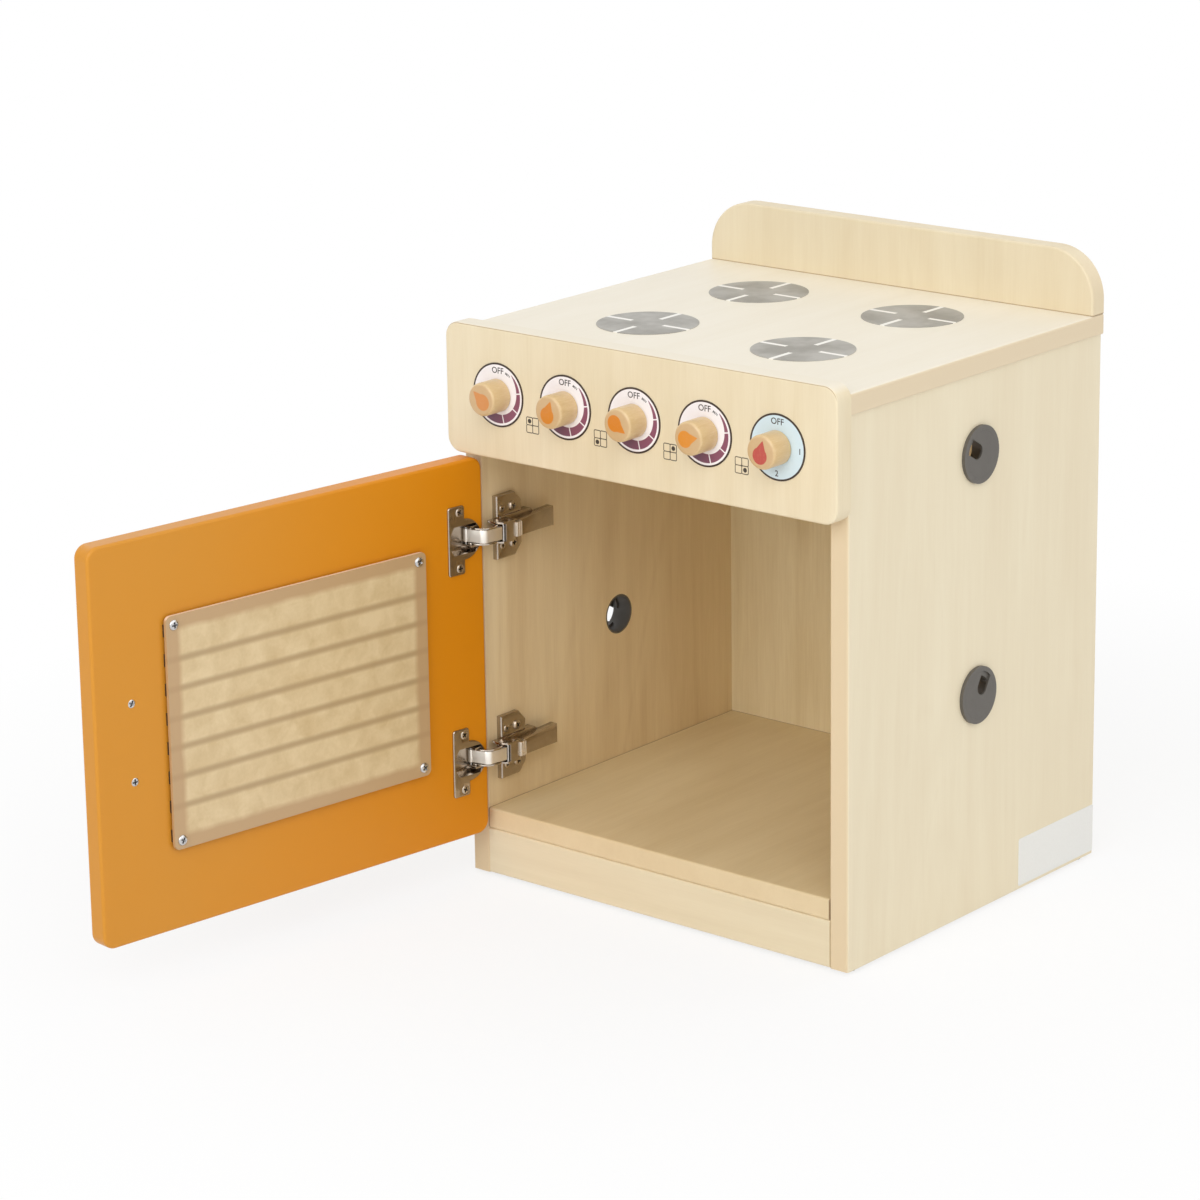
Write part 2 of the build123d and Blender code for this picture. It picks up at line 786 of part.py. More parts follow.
def arm_plan(inset):
    """The arm from above: a blunt nose round both pins, the tab's recess, then a housing to the tail."""
    top = arm_peak - inset
    return Polyline(
        (arm_foot, plate_front), (arm_foot, arm_front + nose_chamfer), (arm_nose - nose_flat / 2, arm_front),
        (arm_nose + nose_flat / 2, arm_front), (top, arm_front + nose_slope),
        (top, clip_setback - inset), (top - clip_recess, clip_setback - inset),
        (top - clip_recess, clip_end + inset), (top - arm_shoulder, clip_end + inset),
        (arm_tail - inset, arm_length - inset), (saddle_rise, arm_length - inset), (saddle_rise, plate_front),
        close=True)


def arm_side(inset):
    """The arm from the side: tall at its nose, a waist behind the tab, and a taller tail."""
    points = [(0, arm_half_width), (clip_setback, arm_half_width), (clip_end, arm_waist_half),
              (arm_length, arm_tail_half)]
    upper = [(setback, half - inset) for setback, half in points]
    lower = [(setback, inset - half) for setback, half in reversed(points)]
    return Polyline(*upper, *lower, close=True)


def arm_block(height, inset):
    """The solid where the arm's plan and its side view meet, drawn in by inset."""
    with BuildPart() as block:
        with BuildSketch(layer(height - arm_half_width)):
            with BuildLine():
                arm_plan(inset)
            make_face()
        extrude(amount=2 * arm_half_width)
        with BuildSketch(wall_plane(0, height, 0)):
            with BuildLine():
                arm_side(inset)
            make_face()
        extrude(amount=arm_peak, mode=Mode.INTERSECT)
    return block


def make_arm(height):
    """Channel that clips over the mounting plate's rail, with its nose open in front for the links."""
    outside = arm_block(height, 0)
    hollow = arm_block(height, arm_sheet)
    with BuildPart() as arm:
        add(outside.part)
        add(hollow.part, mode=Mode.SUBTRACT)
        with BuildSketch(layer(height - arm_gap)):
            with Locations((arm_peak / 2, arm_web_start / 2)):
                Rectangle(arm_peak * 2, arm_web_start)
        extrude(amount=2 * arm_gap, mode=Mode.SUBTRACT)
        with BuildSketch(layer(height - arm_half_width)):
            with Locations(outer_arm_pin, inner_arm_pin):
                Circle(pin_radius)
        extrude(amount=2 * arm_half_width, mode=Mode.SUBTRACT)
    return arm


def make_arm_pins(height):
    with BuildPart() as pins:
        with BuildSketch(layer(height - arm_half_width)):
            with Locations(outer_arm_pin, inner_arm_pin):
                Circle(pin_radius)
        extrude(amount=2 * arm_half_width)
    return pins


def make_mounting_plate(height):
    """Winged plate on the side's inner face, with the saddle and rail that the arm clips over."""
    with BuildPart() as plate:
        with BuildSketch(wall_plane(0, height, 0)):
            with BuildLine():
                Polyline((plate_front, plate_half_height), (plate_shoulder, plate_half_height),
                         (plate_rear, plate_rear_half), (plate_rear, -plate_rear_half),
                         (plate_shoulder, -plate_half_height), (plate_front, -plate_half_height), close=True)
            make_face()
        extrude(amount=plate_thickness)
        chamfer(plate.faces().sort_by(Axis.X)[-1].edges(), plate_edge_round)
        with BuildSketch(wall_plane(0, height, 0)):
            with BuildLine():
                Polyline((plate_front, saddle_half), (saddle_rear - saddle_slope, saddle_half),
                         (saddle_rear, rail_half), (saddle_rear, -rail_half),
                         (saddle_rear - saddle_slope, -saddle_half), (plate_front, -saddle_half), close=True)
            make_face()
        extrude(amount=saddle_rise)
        with BuildSketch(wall_plane(arm_web_start + running_gap, height, saddle_rise)):
            with Locations((rail_length / 2, 0)):
                Rectangle(rail_length, 2 * rail_half)
        extrude(amount=rail_rise - saddle_rise)
        with BuildSketch(wall_plane(0, height, 0)):
            with Locations((plate_screw_setback, 0)):
                with GridLocations(0, plate_screw_spacing, 1, 2):
                    Circle(screw_shank / 2)
            with Locations((cam_setback, 0)):
                with GridLocations(0, plate_screw_spacing, 1, 2):
                    Circle(cam_shank / 2)
        extrude(amount=plate_thickness, mode=Mode.SUBTRACT)
    return plate


def make_clip(height):
    """Ribbed thumb tab that locks the arm to the plate."""
    middle = clip_setback + clip_length / 2
    half = arm_waist_half - lug_gap
    with BuildPart() as clip:
        with BuildSketch(wall_plane(middle, height, arm_peak - clip_recess)):
            Rectangle(clip_length, 2 * half)
        extrude(amount=clip_height - clip_rib_height)
        with BuildSketch(wall_plane(middle, height, arm_peak - clip_recess)):
            with GridLocations(clip_length / clip_ribs, 0, clip_ribs, 1):
                Rectangle(clip_length / clip_ribs / 2, 2 * half)
        extrude(amount=clip_height)
    return clip


def make_screw(place, head_radius, head_height, shank_radius, reach):
    """Screw with its head standing on place and its shank running back from it."""
    with BuildPart() as screw:
        with BuildSketch(place):
            Circle(head_radius)
        extrude(amount=head_height)
        with BuildSketch(place):
            Circle(shank_radius)
        extrude(amount=-reach)
    return screw


cups = {level: make_cup(z) for level, z in hinge_heights.items()}
outer_links = {level: make_outer_link(z) for level, z in hinge_heights.items()}
inner_links = {level: make_inner_link(z) for level, z in hinge_heights.items()}
arms = {level: make_arm(z) for level, z in hinge_heights.items()}
plates = {level: make_mounting_plate(z) for level, z in hinge_heights.items()}
clips = {level: make_clip(z) for level, z in hinge_heights.items()}
for level in hinge_heights:
    save(cups[level], f"{level}_hinge_cup")
    save(outer_links[level], f"{level}_outer_link")
    save(inner_links[level], f"{level}_inner_link")
    save(arms[level], f"{level}_hinge_arm")
    save(plates[level], f"{level}_mounting_plate")
    save(clips[level], f"{level}_release_clip")

with BuildPart() as hinge_cup_pins:
    for z in hinge_heights.values():
        add(make_cup_pins(z).part)
save(hinge_cup_pins, "hinge_cup_pins")

with BuildPart() as hinge_arm_pins:
    for z in hinge_heights.values():
        add(make_arm_pins(z).part)
save(hinge_arm_pins, "hinge_arm_pins")

with BuildPart() as hinge_plate_screws:
    for z in hinge_heights.values():
        for sign in (-1, 1):
            place = wall_plane(plate_screw_setback, z + sign * plate_screw_spacing / 2, plate_thickness)
            add(make_screw(place, screw_head / 2, screw_head_height, screw_shank / 2,
                           plate_thickness + screw_bite).part)
save(hinge_plate_screws, "hinge_plate_screws")

with BuildPart() as hinge_cup_screws:
    for z in hinge_heights.values():
        for sign in (-1, 1):
            seat = door_plane(flange_sink - flange_thickness)
            spot = seat.from_local_coords((cup_screw_s, z + sign * cup_screw_spacing / 2, 0))
            place = Plane(origin=spot, x_dir=(0, 0, 1), z_dir=(-into_door[0], -into_door[1], 0))
            add(make_screw(place, screw_head / 2, screw_head_height, screw_shank / 2,
                           flange_thickness - flange_sink + screw_bite).part)
save(hinge_cup_screws, "hinge_cup_screws")

with BuildPart() as hinge_adjusting_screws:
    for z in hinge_heights.values():
        for sign in (-1, 1):
            place = wall_plane(cam_setback, z + sign * plate_screw_spacing / 2, plate_thickness)
            add(make_screw(place, cam_diameter / 2, cam_head, cam_shank / 2, cam_reach).part)
save(hinge_adjusting_screws, "hinge_adjusting_screws")
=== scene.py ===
import bpy
import bmesh
import json
from math import sin, cos, radians, pi
from mathutils import Vector, Matrix
from mathutils.geometry import tessellate_polygon


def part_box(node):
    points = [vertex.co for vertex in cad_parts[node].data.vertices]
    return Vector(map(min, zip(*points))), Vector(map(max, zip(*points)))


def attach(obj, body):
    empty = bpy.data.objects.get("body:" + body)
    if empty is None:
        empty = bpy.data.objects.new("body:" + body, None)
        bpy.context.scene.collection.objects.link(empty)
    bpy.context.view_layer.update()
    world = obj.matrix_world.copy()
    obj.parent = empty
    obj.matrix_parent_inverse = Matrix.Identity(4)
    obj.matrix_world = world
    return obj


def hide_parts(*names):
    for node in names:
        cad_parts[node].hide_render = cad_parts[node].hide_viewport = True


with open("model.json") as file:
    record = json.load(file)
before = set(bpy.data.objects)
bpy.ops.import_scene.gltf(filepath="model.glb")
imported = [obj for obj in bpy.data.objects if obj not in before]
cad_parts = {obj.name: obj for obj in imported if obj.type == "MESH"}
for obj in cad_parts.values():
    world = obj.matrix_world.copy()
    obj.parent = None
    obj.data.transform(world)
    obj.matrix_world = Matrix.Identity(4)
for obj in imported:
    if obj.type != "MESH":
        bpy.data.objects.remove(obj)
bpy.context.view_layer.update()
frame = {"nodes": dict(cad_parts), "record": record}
record = frame["record"]
bodyOf = {node: body for body, nodes in record["behaviour"]["bodies"].items() for node in nodes}
mm = 0.001
toMm = 1000  # turns the frame's metres into millimetres inside the shaders
crispAngle = 32.0  # degrees: sharper edges than this stay crisp on the pieces made here
hobDials = (1, 2, 3, 4)
ovenDial = 5
allDials = (*hobDials, ovenDial)


# colours are written as they look on a screen, from 0 to 255
def tint(red, green, blue):
    parts = [value / 255 for value in (red, green, blue)]
    return (*[c / 12.92 if c <= 0.04045 else ((c + 0.055) / 1.055) ** 2.4 for c in parts], 1.0)


class Wire:
    # a socket in an expression: each operator adds one Math node
    def __init__(self, nodes, socket):
        self.nodes = nodes
        self.socket = socket

    def calc(self, operation, other=0.0, clamp=False):
        return self.nodes.add("ShaderNodeMath", {"operation": operation, "use_clamp": clamp}, [self, other])

    def after(self, operation, other):
        return self.nodes.add("ShaderNodeMath", {"operation": operation}, [other, self])

    def __add__(self, other):
        return self.calc("ADD", other)

    def __radd__(self, other):
        return self.after("ADD", other)

    def __sub__(self, other):
        return self.calc("SUBTRACT", other)

    def __rsub__(self, other):
        return self.after("SUBTRACT", other)

    def __mul__(self, other):
        return self.calc("MULTIPLY", other)

    def __rmul__(self, other):
        return self.after("MULTIPLY", other)

    def __truediv__(self, other):
        return self.calc("DIVIDE", other)

    def __rtruediv__(self, other):
        return self.after("DIVIDE", other)

    def __pow__(self, other):
        return self.calc("POWER", other)

    def __rpow__(self, other):
        return self.after("POWER", other)

    def __gt__(self, other):
        return self.calc("GREATER_THAN", other)

    def __lt__(self, other):
        return self.calc("LESS_THAN", other)

    def __abs__(self):
        return self.calc("ABSOLUTE")

    def lower(self, other):
        return self.calc("MINIMUM", other)

    def higher(self, other):
        return self.calc("MAXIMUM", other)

    def root(self):
        return self.calc("SQRT")

    def part(self):
        return self.calc("FRACT")

    def clip(self):
        return self.calc("ADD", 0.0, clamp=True)

    def fade(self, start, end):
        # 0 at start and 1 at end, clamped in between
        return ((self - start) / (end - start)).clip()

    def swing(self, width):
        # a pattern that runs from 0 to 1, turned into a swing of that width about zero
        return (self - 0.5) * width

    def ease(self):
        # from 0 to 1, slow at both ends
        return self * self * (3 - self * 2)


class Nodes:
    # a node tree that expressions add to
    def __init__(self, tree):
        self.tree = tree

    def add(self, kind, settings, sockets, out=0):
        node = self.tree.nodes.new(kind)
        for key, value in settings.items():
            setattr(node, key, value)
        pairs = sockets.items() if isinstance(sockets, dict) else enumerate(sockets)
        for key, value in pairs:
            self.join(node.inputs[key], value)
        return Wire(self, node.outputs[out])

    def join(self, socket, value):
        if isinstance(value, Wire):
            self.tree.links.new(value.socket, socket)
        else:
            socket.default_value = value


class Paint(Nodes):
    # one finish: a material whose surface is one Principled BSDF
    def __init__(self, name, **fixed):
        self.material = bpy.data.materials.new(name)
        self.material.use_nodes = True
        super().__init__(self.material.node_tree)
        self.surface = self.tree.nodes["Principled BSDF"]
        self.set(**fixed)

    def set(self, **sockets):
        for key, value in sockets.items():
            self.join(self.surface.inputs[key.replace("_", " ")], value)

    def colourSoFar(self):
        return Wire(self, self.surface.inputs["Base Color"].links[0].from_socket)

    def place(self):
        return self.add("ShaderNodeTexCoord", {}, {}, "Object")

    def placeFrom(self, seed):
        # each piece gets its own stretch of the pattern
        return self.shift(self.place(), (seed, seed * 0.7, seed * 1.3))

    def facing(self):
        return self.split(self.add("ShaderNodeTexCoord", {}, {}, "Normal"))

    def split(self, vector):
        return [self.add("ShaderNodeSeparateXYZ", {}, [vector], axis) for axis in "XYZ"]

    def frontSpot(self, node):
        # millimetres to the right of a node's centre and above it, seen from the front
        middle = centre(node)
        x, y, z = self.split(self.place())
        return (x - middle.x) * toMm, (z - middle.z) * toMm

    def stretch(self, vector, factors):
        return self.add("ShaderNodeVectorMath", {"operation": "MULTIPLY"}, [vector, factors])

    def shift(self, vector, offset):
        return self.add("ShaderNodeVectorMath", {"operation": "ADD"}, [vector, offset])

    def noise(self, vector, scale, detail, rough, twist=0.0):
        return self.add("ShaderNodeTexNoise", {}, {"Vector": vector, "Scale": scale, "Detail": detail,
                                                   "Roughness": rough, "Distortion": twist})

    def mix(self, factor, first, second):
        return self.add("ShaderNodeMix", {"data_type": "RGBA"}, {0: factor, 6: first, 7: second}, 2)

    def bump(self, height, strength, distance=0.1 * mm):
        sockets = {"Strength": strength, "Distance": distance, "Height": height}
        return self.add("ShaderNodeBump", {}, sockets)


def highest(masks):
    # one mask that is on wherever any of these is
    most = masks[0]
    for mask in masks[1:]:
        most = most.higher(mask)
    return most


def alongGrain(axis, share):
    # factors that draw a pattern out along one axis
    return [share if each == axis else 1.0 for each in "xyz"]


def dress(node, paint):
    # gives the CAD node's material slots this finish
    thing = frame["nodes"][node]
    if not thing.material_slots:
        thing.data.materials.append(paint.material)
    for slot in thing.material_slots:
        slot.material = paint.material


def centre(node):
    low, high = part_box(node)
    return Vector([(a + b) / 2 for a, b in zip(low, high)])


def newPiece(name, shape, paint, body, replaced=()):
    # makes an object from a bmesh, attaches it to its body and hides the CAD parts it replaces
    mesh = bpy.data.meshes.new(name)
    shape.to_mesh(mesh)
    shape.free()
    for face in mesh.polygons:
        face.use_smooth = True
    mesh.set_sharp_from_angle(angle=radians(crispAngle))
    mesh.materials.append(paint.material)
    piece = bpy.data.objects.new(name, mesh)
    bpy.context.scene.collection.objects.link(piece)
    if replaced:
        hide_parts(*replaced)
    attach(piece, body)
    return piece


def roundSpots(radius, count):
    # points evenly round a circle
    return [(radius * cos(2 * pi * i / count), radius * sin(2 * pi * i / count)) for i in range(count)]


# boards: pale laminate with a faint figure and pores, and tan banding on the cut edges
# a noise is given as its scale, detail, roughness and distortion, a swing is a width about the middle,
# and a turn is a range of how squarely a surface faces one way
boards = {
    "grainStretch": 0.06,
    "figureStretch": 0.22,
    "poreStretch": 0.05,
    "streaks": (22.0, 4.0, 0.55, 0.5),
    "narrow": (110.0, 3.0, 0.6),
    "hills": (4.6, 2.0, 0.4, 0.8),
    "pores": (620.0, 2.0, 0.6),
    "streakSwing": 1.5,
    "narrowSwing": 0.8,
    "ringSwing": 0.34,
    "poreSwing": 0.5,
    "figureLines": 7.0,
    "lineEdge": 0.22,
    "breakContrast": 2,
    "breakLevel": 0.4,
    "darkness": 0.45,
    "band": tint(224, 202, 165),
    "bandTurn": (0.5, 0.85),
    "roughness": 0.44,
    "roughSwing": 0.12,
    "relief": (0.06, 0.2 * mm),
}

# each board's colours, the way of its grain, the axes that its banded edges face and its own pattern
# each board's light and dark tones are partly painted light: they are set to how bright the board looks where
# it stands, and the boards inside the oven (left side, oven floor, back) are warmer for the warm light
# falling there
boardLooks = {
    "top_board": {"name": "hobLaminate", "light": tint(245, 238, 222), "dark": tint(238, 229, 209),
                  "along": "y", "bandAxes": "xy", "bandShare": 0.8, "seed": 0.3, "contrast": 0.7,
                  "figure": 0.1},
    "control_panel": {"name": "frontLaminate", "light": tint(238, 224, 193), "dark": tint(226, 209, 173),
                      "along": "z", "seed": 1.1, "contrast": 1.0, "figure": 0.4},
    "backsplash": {"name": "splashLaminate", "light": tint(236, 222, 191), "dark": tint(227, 210, 176),
                   "along": "z", "bandAxes": "x", "bandShare": 0.3, "seed": 2.3, "contrast": 1.0,
                   "figure": 0.3},
    "left_side_panel": {"name": "leftLaminate", "light": tint(244, 222, 180), "dark": tint(226, 199, 154),
                        "along": "z", "bandAxes": "y", "bandShare": 0.9, "seed": 3.1, "contrast": 1.1,
                        "figure": 0.4},
    "right_side_panel": {"name": "sideLaminate", "light": tint(239, 227, 198), "dark": tint(231, 216, 185),
                         "along": "z", "bandAxes": "y", "bandShare": 0.9, "seed": 4.7, "contrast": 0.8,
                         "figure": 0.3},
    "bottom_board": {"name": "ovenFloorLaminate", "light": tint(236, 217, 176), "dark": tint(216, 193, 148),
                     "along": "y", "bandAxes": "y", "bandShare": 0.5, "seed": 5.9, "contrast": 0.7,
                     "figure": 0.2},
    "back_panel": {"name": "ovenBackLaminate", "light": tint(250, 235, 197), "dark": tint(226, 205, 160),
                   "along": "z", "seed": 6.1, "contrast": 1.0, "figure": 0.9},
    "front_rail": {"name": "railLaminate", "light": tint(226, 208, 170), "dark": tint(208, 188, 148),
                   "along": "x", "seed": 7.7, "contrast": 1.0, "figure": 0.2},
    "kickboard": {"name": "kickLaminate", "light": tint(235, 222, 191), "dark": tint(223, 207, 174),
                  "along": "x", "seed": 8.3, "contrast": 0.8, "figure": 0.2},
}


def boardPaint(name, light, dark, along, seed, contrast, figure, bandAxes="", bandShare=0.0):
    paint = Paint(name)
    grain = alongGrain(along, boards["grainStretch"])
    spot = paint.placeFrom(seed)
    streaks = paint.noise(paint.stretch(spot, grain), *boards["streaks"])
    narrow = paint.noise(paint.stretch(spot, grain), *boards["narrow"])
    hills = paint.noise(paint.stretch(spot, alongGrain(along, boards["figureStretch"])), *boards["hills"])
    rings = abs((hills * boards["figureLines"]).part() - 0.5) * 2
    whole = (narrow * boards["breakContrast"] - boards["breakLevel"]).clip()
    ringLines = rings.fade(boards["lineEdge"], 0.0) * whole
    pores = paint.noise(paint.stretch(spot, alongGrain(along, boards["poreStretch"])), *boards["pores"])
    amount = streaks.swing(boards["streakSwing"]) + narrow.swing(boards["narrowSwing"])
    amount = amount + rings.swing(boards["ringSwing"]) + pores.swing(boards["poreSwing"])
    amount = amount + ringLines * figure
    shade = paint.mix((amount * contrast + boards["darkness"]).clip(), light, dark)
    if bandAxes:
        normals = dict(zip("xyz", paint.facing()))
        edges = highest([abs(normals[axis]).fade(*boards["bandTurn"]) for axis in bandAxes])
        shade = paint.mix(edges * bandShare, shade, boards["band"])
    paint.set(Base_Color=shade, Roughness=pores.swing(boards["roughSwing"]) + boards["roughness"],
              Normal=paint.bump(pores + narrow, *boards["relief"]))
    return paint


boardPaints = {node: boardPaint(**look) for node, look in boardLooks.items()}
for node, paint in boardPaints.items():
    dress(node, paint)

# the oven floor meets the walls in a thin dark joint
joint = {"width": 1.1, "darkest": 0.44, "share": 0.8, "dark": tint(132, 100, 66)}
paint = boardPaints["bottom_board"]
x, y, z = paint.split(paint.place())
low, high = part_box("bottom_board")
edgeGap = (high[0] * toMm - abs(x) * toMm).lower(high[1] * toMm - y * toMm)
shadow = edgeGap.fade(joint["width"], joint["darkest"]) * joint["share"]
paint.set(Base_Color=paint.mix(shadow, paint.colourSoFar(), joint["dark"]))

# the control panel also carries a small square sign beside each of the four hob dials
# it is placed across from the dial's middle and at a height above the floor
signs = {
    "size": 12.9,
    "line": 0.72,
    "cornerRound": 1.1,
    "dotRadius": 1.9,
    "blur": 0.1,
    "across": 36.2,
    "height": 408.7,
    "frontTurn": -0.9,
    "ink": tint(62, 54, 44),
    "dotCells": {1: (-1, 1), 2: (-1, -1), 3: (1, 1), 4: (1, -1)},
}


def roundSquare(u, v, half, corner):
    # distance from the outline of a square with rounded corners, negative inside
    du = (abs(u) - (half - corner)).higher(0.0)
    dv = (abs(v) - (half - corner)).higher(0.0)
    return (du * du + dv * dv).root() - corner


def inkEdge(distance, reach):
    # ink as far as reach, with slightly soft edges
    return distance.fade(reach + signs["blur"], reach - signs["blur"])


def signMask(paint, number):
    dial = centre(f"dial_plate_{number}")
    x, y, z = paint.split(paint.place())
    u = (x - dial.x) * toMm - signs["across"]
    v = z * toMm - signs["height"]
    cell = signs["size"] / 4
    outline = abs(roundSquare(abs(u) - cell, abs(v) - cell, cell, signs["cornerRound"]))
    du = u - signs["dotCells"][number][0] * cell
    dv = v - signs["dotCells"][number][1] * cell
    dot = inkEdge((du * du + dv * dv).root(), signs["dotRadius"])
    return inkEdge(outline, signs["line"] / 2).higher(dot)


paint = boardPaints["control_panel"]
inked = highest([signMask(paint, number) for number in hobDials]) * (paint.facing()[1] < signs["frontTurn"])
shade = paint.mix(inked, paint.colourSoFar(), signs["ink"])

# its upper edge is painted paler where it faces up, as pale as the hob, a painted highlight on the rounded
# top; behind it a thin brown seam follows the rounded front outline
seam = {
    "topHighlightColour": tint(240, 231, 211),
    "topHighlightTurn": (0.55, 0.9),
    "brown": tint(176, 150, 112),
    "share": 0.85,
    "frontTurns": ((0.58, 0.66), (0.9, 0.82)),
    "upTurn": (0.1, 0.4),
    "height": 0.9,
    "fullHeight": 0.45,
}
forward, upward = paint.facing()[1:]
band = [abs(forward).fade(*turn) for turn in seam["frontTurns"]]
line = band[0] * band[1] * upward.fade(*seam["upTurn"])
# painted highlight on the faces that look up
shade = paint.mix(upward.fade(*seam["topHighlightTurn"]), shade, seam["topHighlightColour"])
paint.set(Base_Color=paint.mix(line * seam["share"], shade, seam["brown"]))

# and the backsplash stands on the hob in a thin joint of the same brown
paint = boardPaints["backsplash"]
height = (paint.split(paint.place())[2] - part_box("backsplash")[0][2]) * toMm
line = height.fade(seam["height"], seam["fullHeight"])
paint.set(Base_Color=paint.mix(line, paint.colourSoFar(), seam["brown"]))
print("boards dressed")

# door: its own directions, from the hinge edge along the panel and from the inner face into it
door = {
    "angle": 97.65,  # how far open the frame has it, in degrees
    "corner": (-172.2, -183.7),  # its inner corner at the hinge edge
    "orange": tint(214, 145, 46),
    # painted shade: the lacquer is painted a deeper orange towards the hinge edge, where the door is shaded
    "hingeShadeOrange": tint(222, 139, 12),
    "deepens": (320.0, 40.0),  # millimetres from the hinge edge
    "mottle": (18.0, 3.0, 0.5),
    "mottleSwing": 0.2,
    "orangePeel": (800.0, 2.0, 0.5),
    "relief": 0.05,
    "roughness": 0.36,
    "roughSwing": 0.08,
}
doorAlong = Vector((cos(radians(door["angle"])), -sin(radians(door["angle"])), 0))
doorInto = Vector((-sin(radians(door["angle"])), -cos(radians(door["angle"])), 0))
doorCorner = Vector((*door["corner"], 0)) * mm


def doorSpot(paint):
    # millimetres along the door and millimetres up
    x, y, z = paint.split(paint.place())
    along = (x - doorCorner.x) * doorAlong.x + (y - doorCorner.y) * doorAlong.y
    return along * toMm, z * toMm


paint = Paint("orangeLacquer", Specular_IOR_Level=0.3)
along, height = doorSpot(paint)
mottle = paint.noise(paint.place(), *door["mottle"])
# painted shade deepening the orange towards the hinge edge, with a random mottle
depth = (along.fade(*door["deepens"]) + mottle.swing(door["mottleSwing"])).clip()
shade = paint.mix(depth, door["orange"], door["hingeShadeOrange"])
orangePeel = paint.noise(paint.place(), *door["orangePeel"])
paint.set(Base_Color=shade, Roughness=mottle.swing(door["roughSwing"]) + door["roughness"],
          Normal=paint.bump(orangePeel, door["relief"]))
dress("door_panel", paint)

# window: a frosted pane with a warm rim, blurred bars and a painted highlight along its upper edge, over dark
# bars and a frosted sheet
pane = {
    "start": 66.4,  # along the door from the hinge edge
    "width": 264.0,
    "height": 192.0,
    "middle": 207.5,  # above the floor
    "border": (10.0, 9.0),
    "softness": 5.0,
    "wobble": (60.0, 2.0, 0.5),
    "wobbleWidth": 3,
    "barSpacing": 24.1,
    "barFade": (4.6, 0.4),
    "barReach": 80.0,
    "rim": tint(193, 160, 118),
    "rimBar": tint(180, 147, 106),
    "rimBarShare": 0.55,
    "light": tint(226, 203, 160),
    "mottled": tint(203, 176, 128),
    "clouds": (60.0, 3.0, 0.5, 0.4),
    "cloudSwing": 1.7,
    "specks": (420.0, 2.0, 0.6),
    "speckSwing": 0.4,
    "darkness": 0.35,
    "bar": tint(180, 153, 112),
    "barShare": 0.9,
    # painted highlight on the pane's thin upper edge, where it catches the light
    "paneEdgeHighlight": tint(248, 226, 204),
    "paneHighlightTurn": (0.3, 0.7),  # the edge that looks up
    "paneHighlightShare": 0.85,
    "frosting": (1500.0, 2.0, 0.5),
    "relief": 0.05,
    "roughness": 0.3,
    "roughSwing": 0.1,
    "scuffs": (300.0, 3.0, 0.6),
    "stripBrown": tint(70, 48, 34),
    "stripDark": tint(44, 30, 22),
    "stripRoughness": 0.4,
    "scuffRough": 0.2,
    "sheetRoughness": 0.45,
}


def frostedShade(paint):
    # blotchy paper seen through frosting
    spot = paint.place()
    clouds = paint.noise(spot, *pane["clouds"])
    specks = paint.noise(spot, *pane["specks"])
    amount = clouds.swing(pane["cloudSwing"]) + specks.swing(pane["speckSwing"]) + pane["darkness"]
    return paint.mix(amount.clip(), pane["light"], pane["mottled"])


def insideRim(distance, width, border):
    # 1 in the pane's clear middle, fading to 0 in its rim
    edge = width / 2 - border
    return distance.fade(edge, edge - pane["softness"])


paint = Paint("frostedPane", Coat_Weight=0.2, Coat_Roughness=0.2)
along, height = doorSpot(paint)
wobble = paint.noise(paint.place(), *pane["wobble"]).swing(pane["wobbleWidth"])
sideways = abs(along - (pane["start"] + pane["width"] / 2)) + wobble
upright = abs(height - pane["middle"]) + wobble
openAcross = insideRim(sideways, pane["width"], pane["border"][0])
openUp = insideRim(upright, pane["height"], pane["border"][1])
phase = ((height - pane["middle"]) / pane["barSpacing"]).part()
bar = (abs(phase - 0.5) * pane["barSpacing"]).fade(*pane["barFade"])
bar = bar.ease() * (upright < pane["barReach"])
picture = paint.mix(bar * pane["barShare"], frostedShade(paint), pane["bar"])
rim = paint.mix(bar * pane["rimBarShare"], pane["rim"], pane["rimBar"])
shade = paint.mix(openAcross * openUp, rim, picture)
# painted highlight along the edge that looks up
paneHighlightMask = paint.facing()[2].fade(*pane["paneHighlightTurn"]) * pane["paneHighlightShare"]
shade = paint.mix(paneHighlightMask, shade, pane["paneEdgeHighlight"])
frosting = paint.noise(paint.place(), *pane["frosting"])
paint.set(Base_Color=shade, Roughness=frosting.swing(pane["roughSwing"]) + pane["roughness"],
          Normal=paint.bump(frosting, pane["relief"]))
dress("window_pane", paint)

paint = Paint("windowStrips")
scuffs = paint.noise(paint.place(), *pane["scuffs"])
paint.set(Base_Color=paint.mix(scuffs, pane["stripBrown"], pane["stripDark"]),
          Roughness=scuffs * pane["scuffRough"] + pane["stripRoughness"])
dress("window_bars", paint)
paint = Paint("backingSheet", Roughness=pane["sheetRoughness"])
paint.set(Base_Color=frostedShade(paint))
dress("window_backing", paint)
print("door dressed")

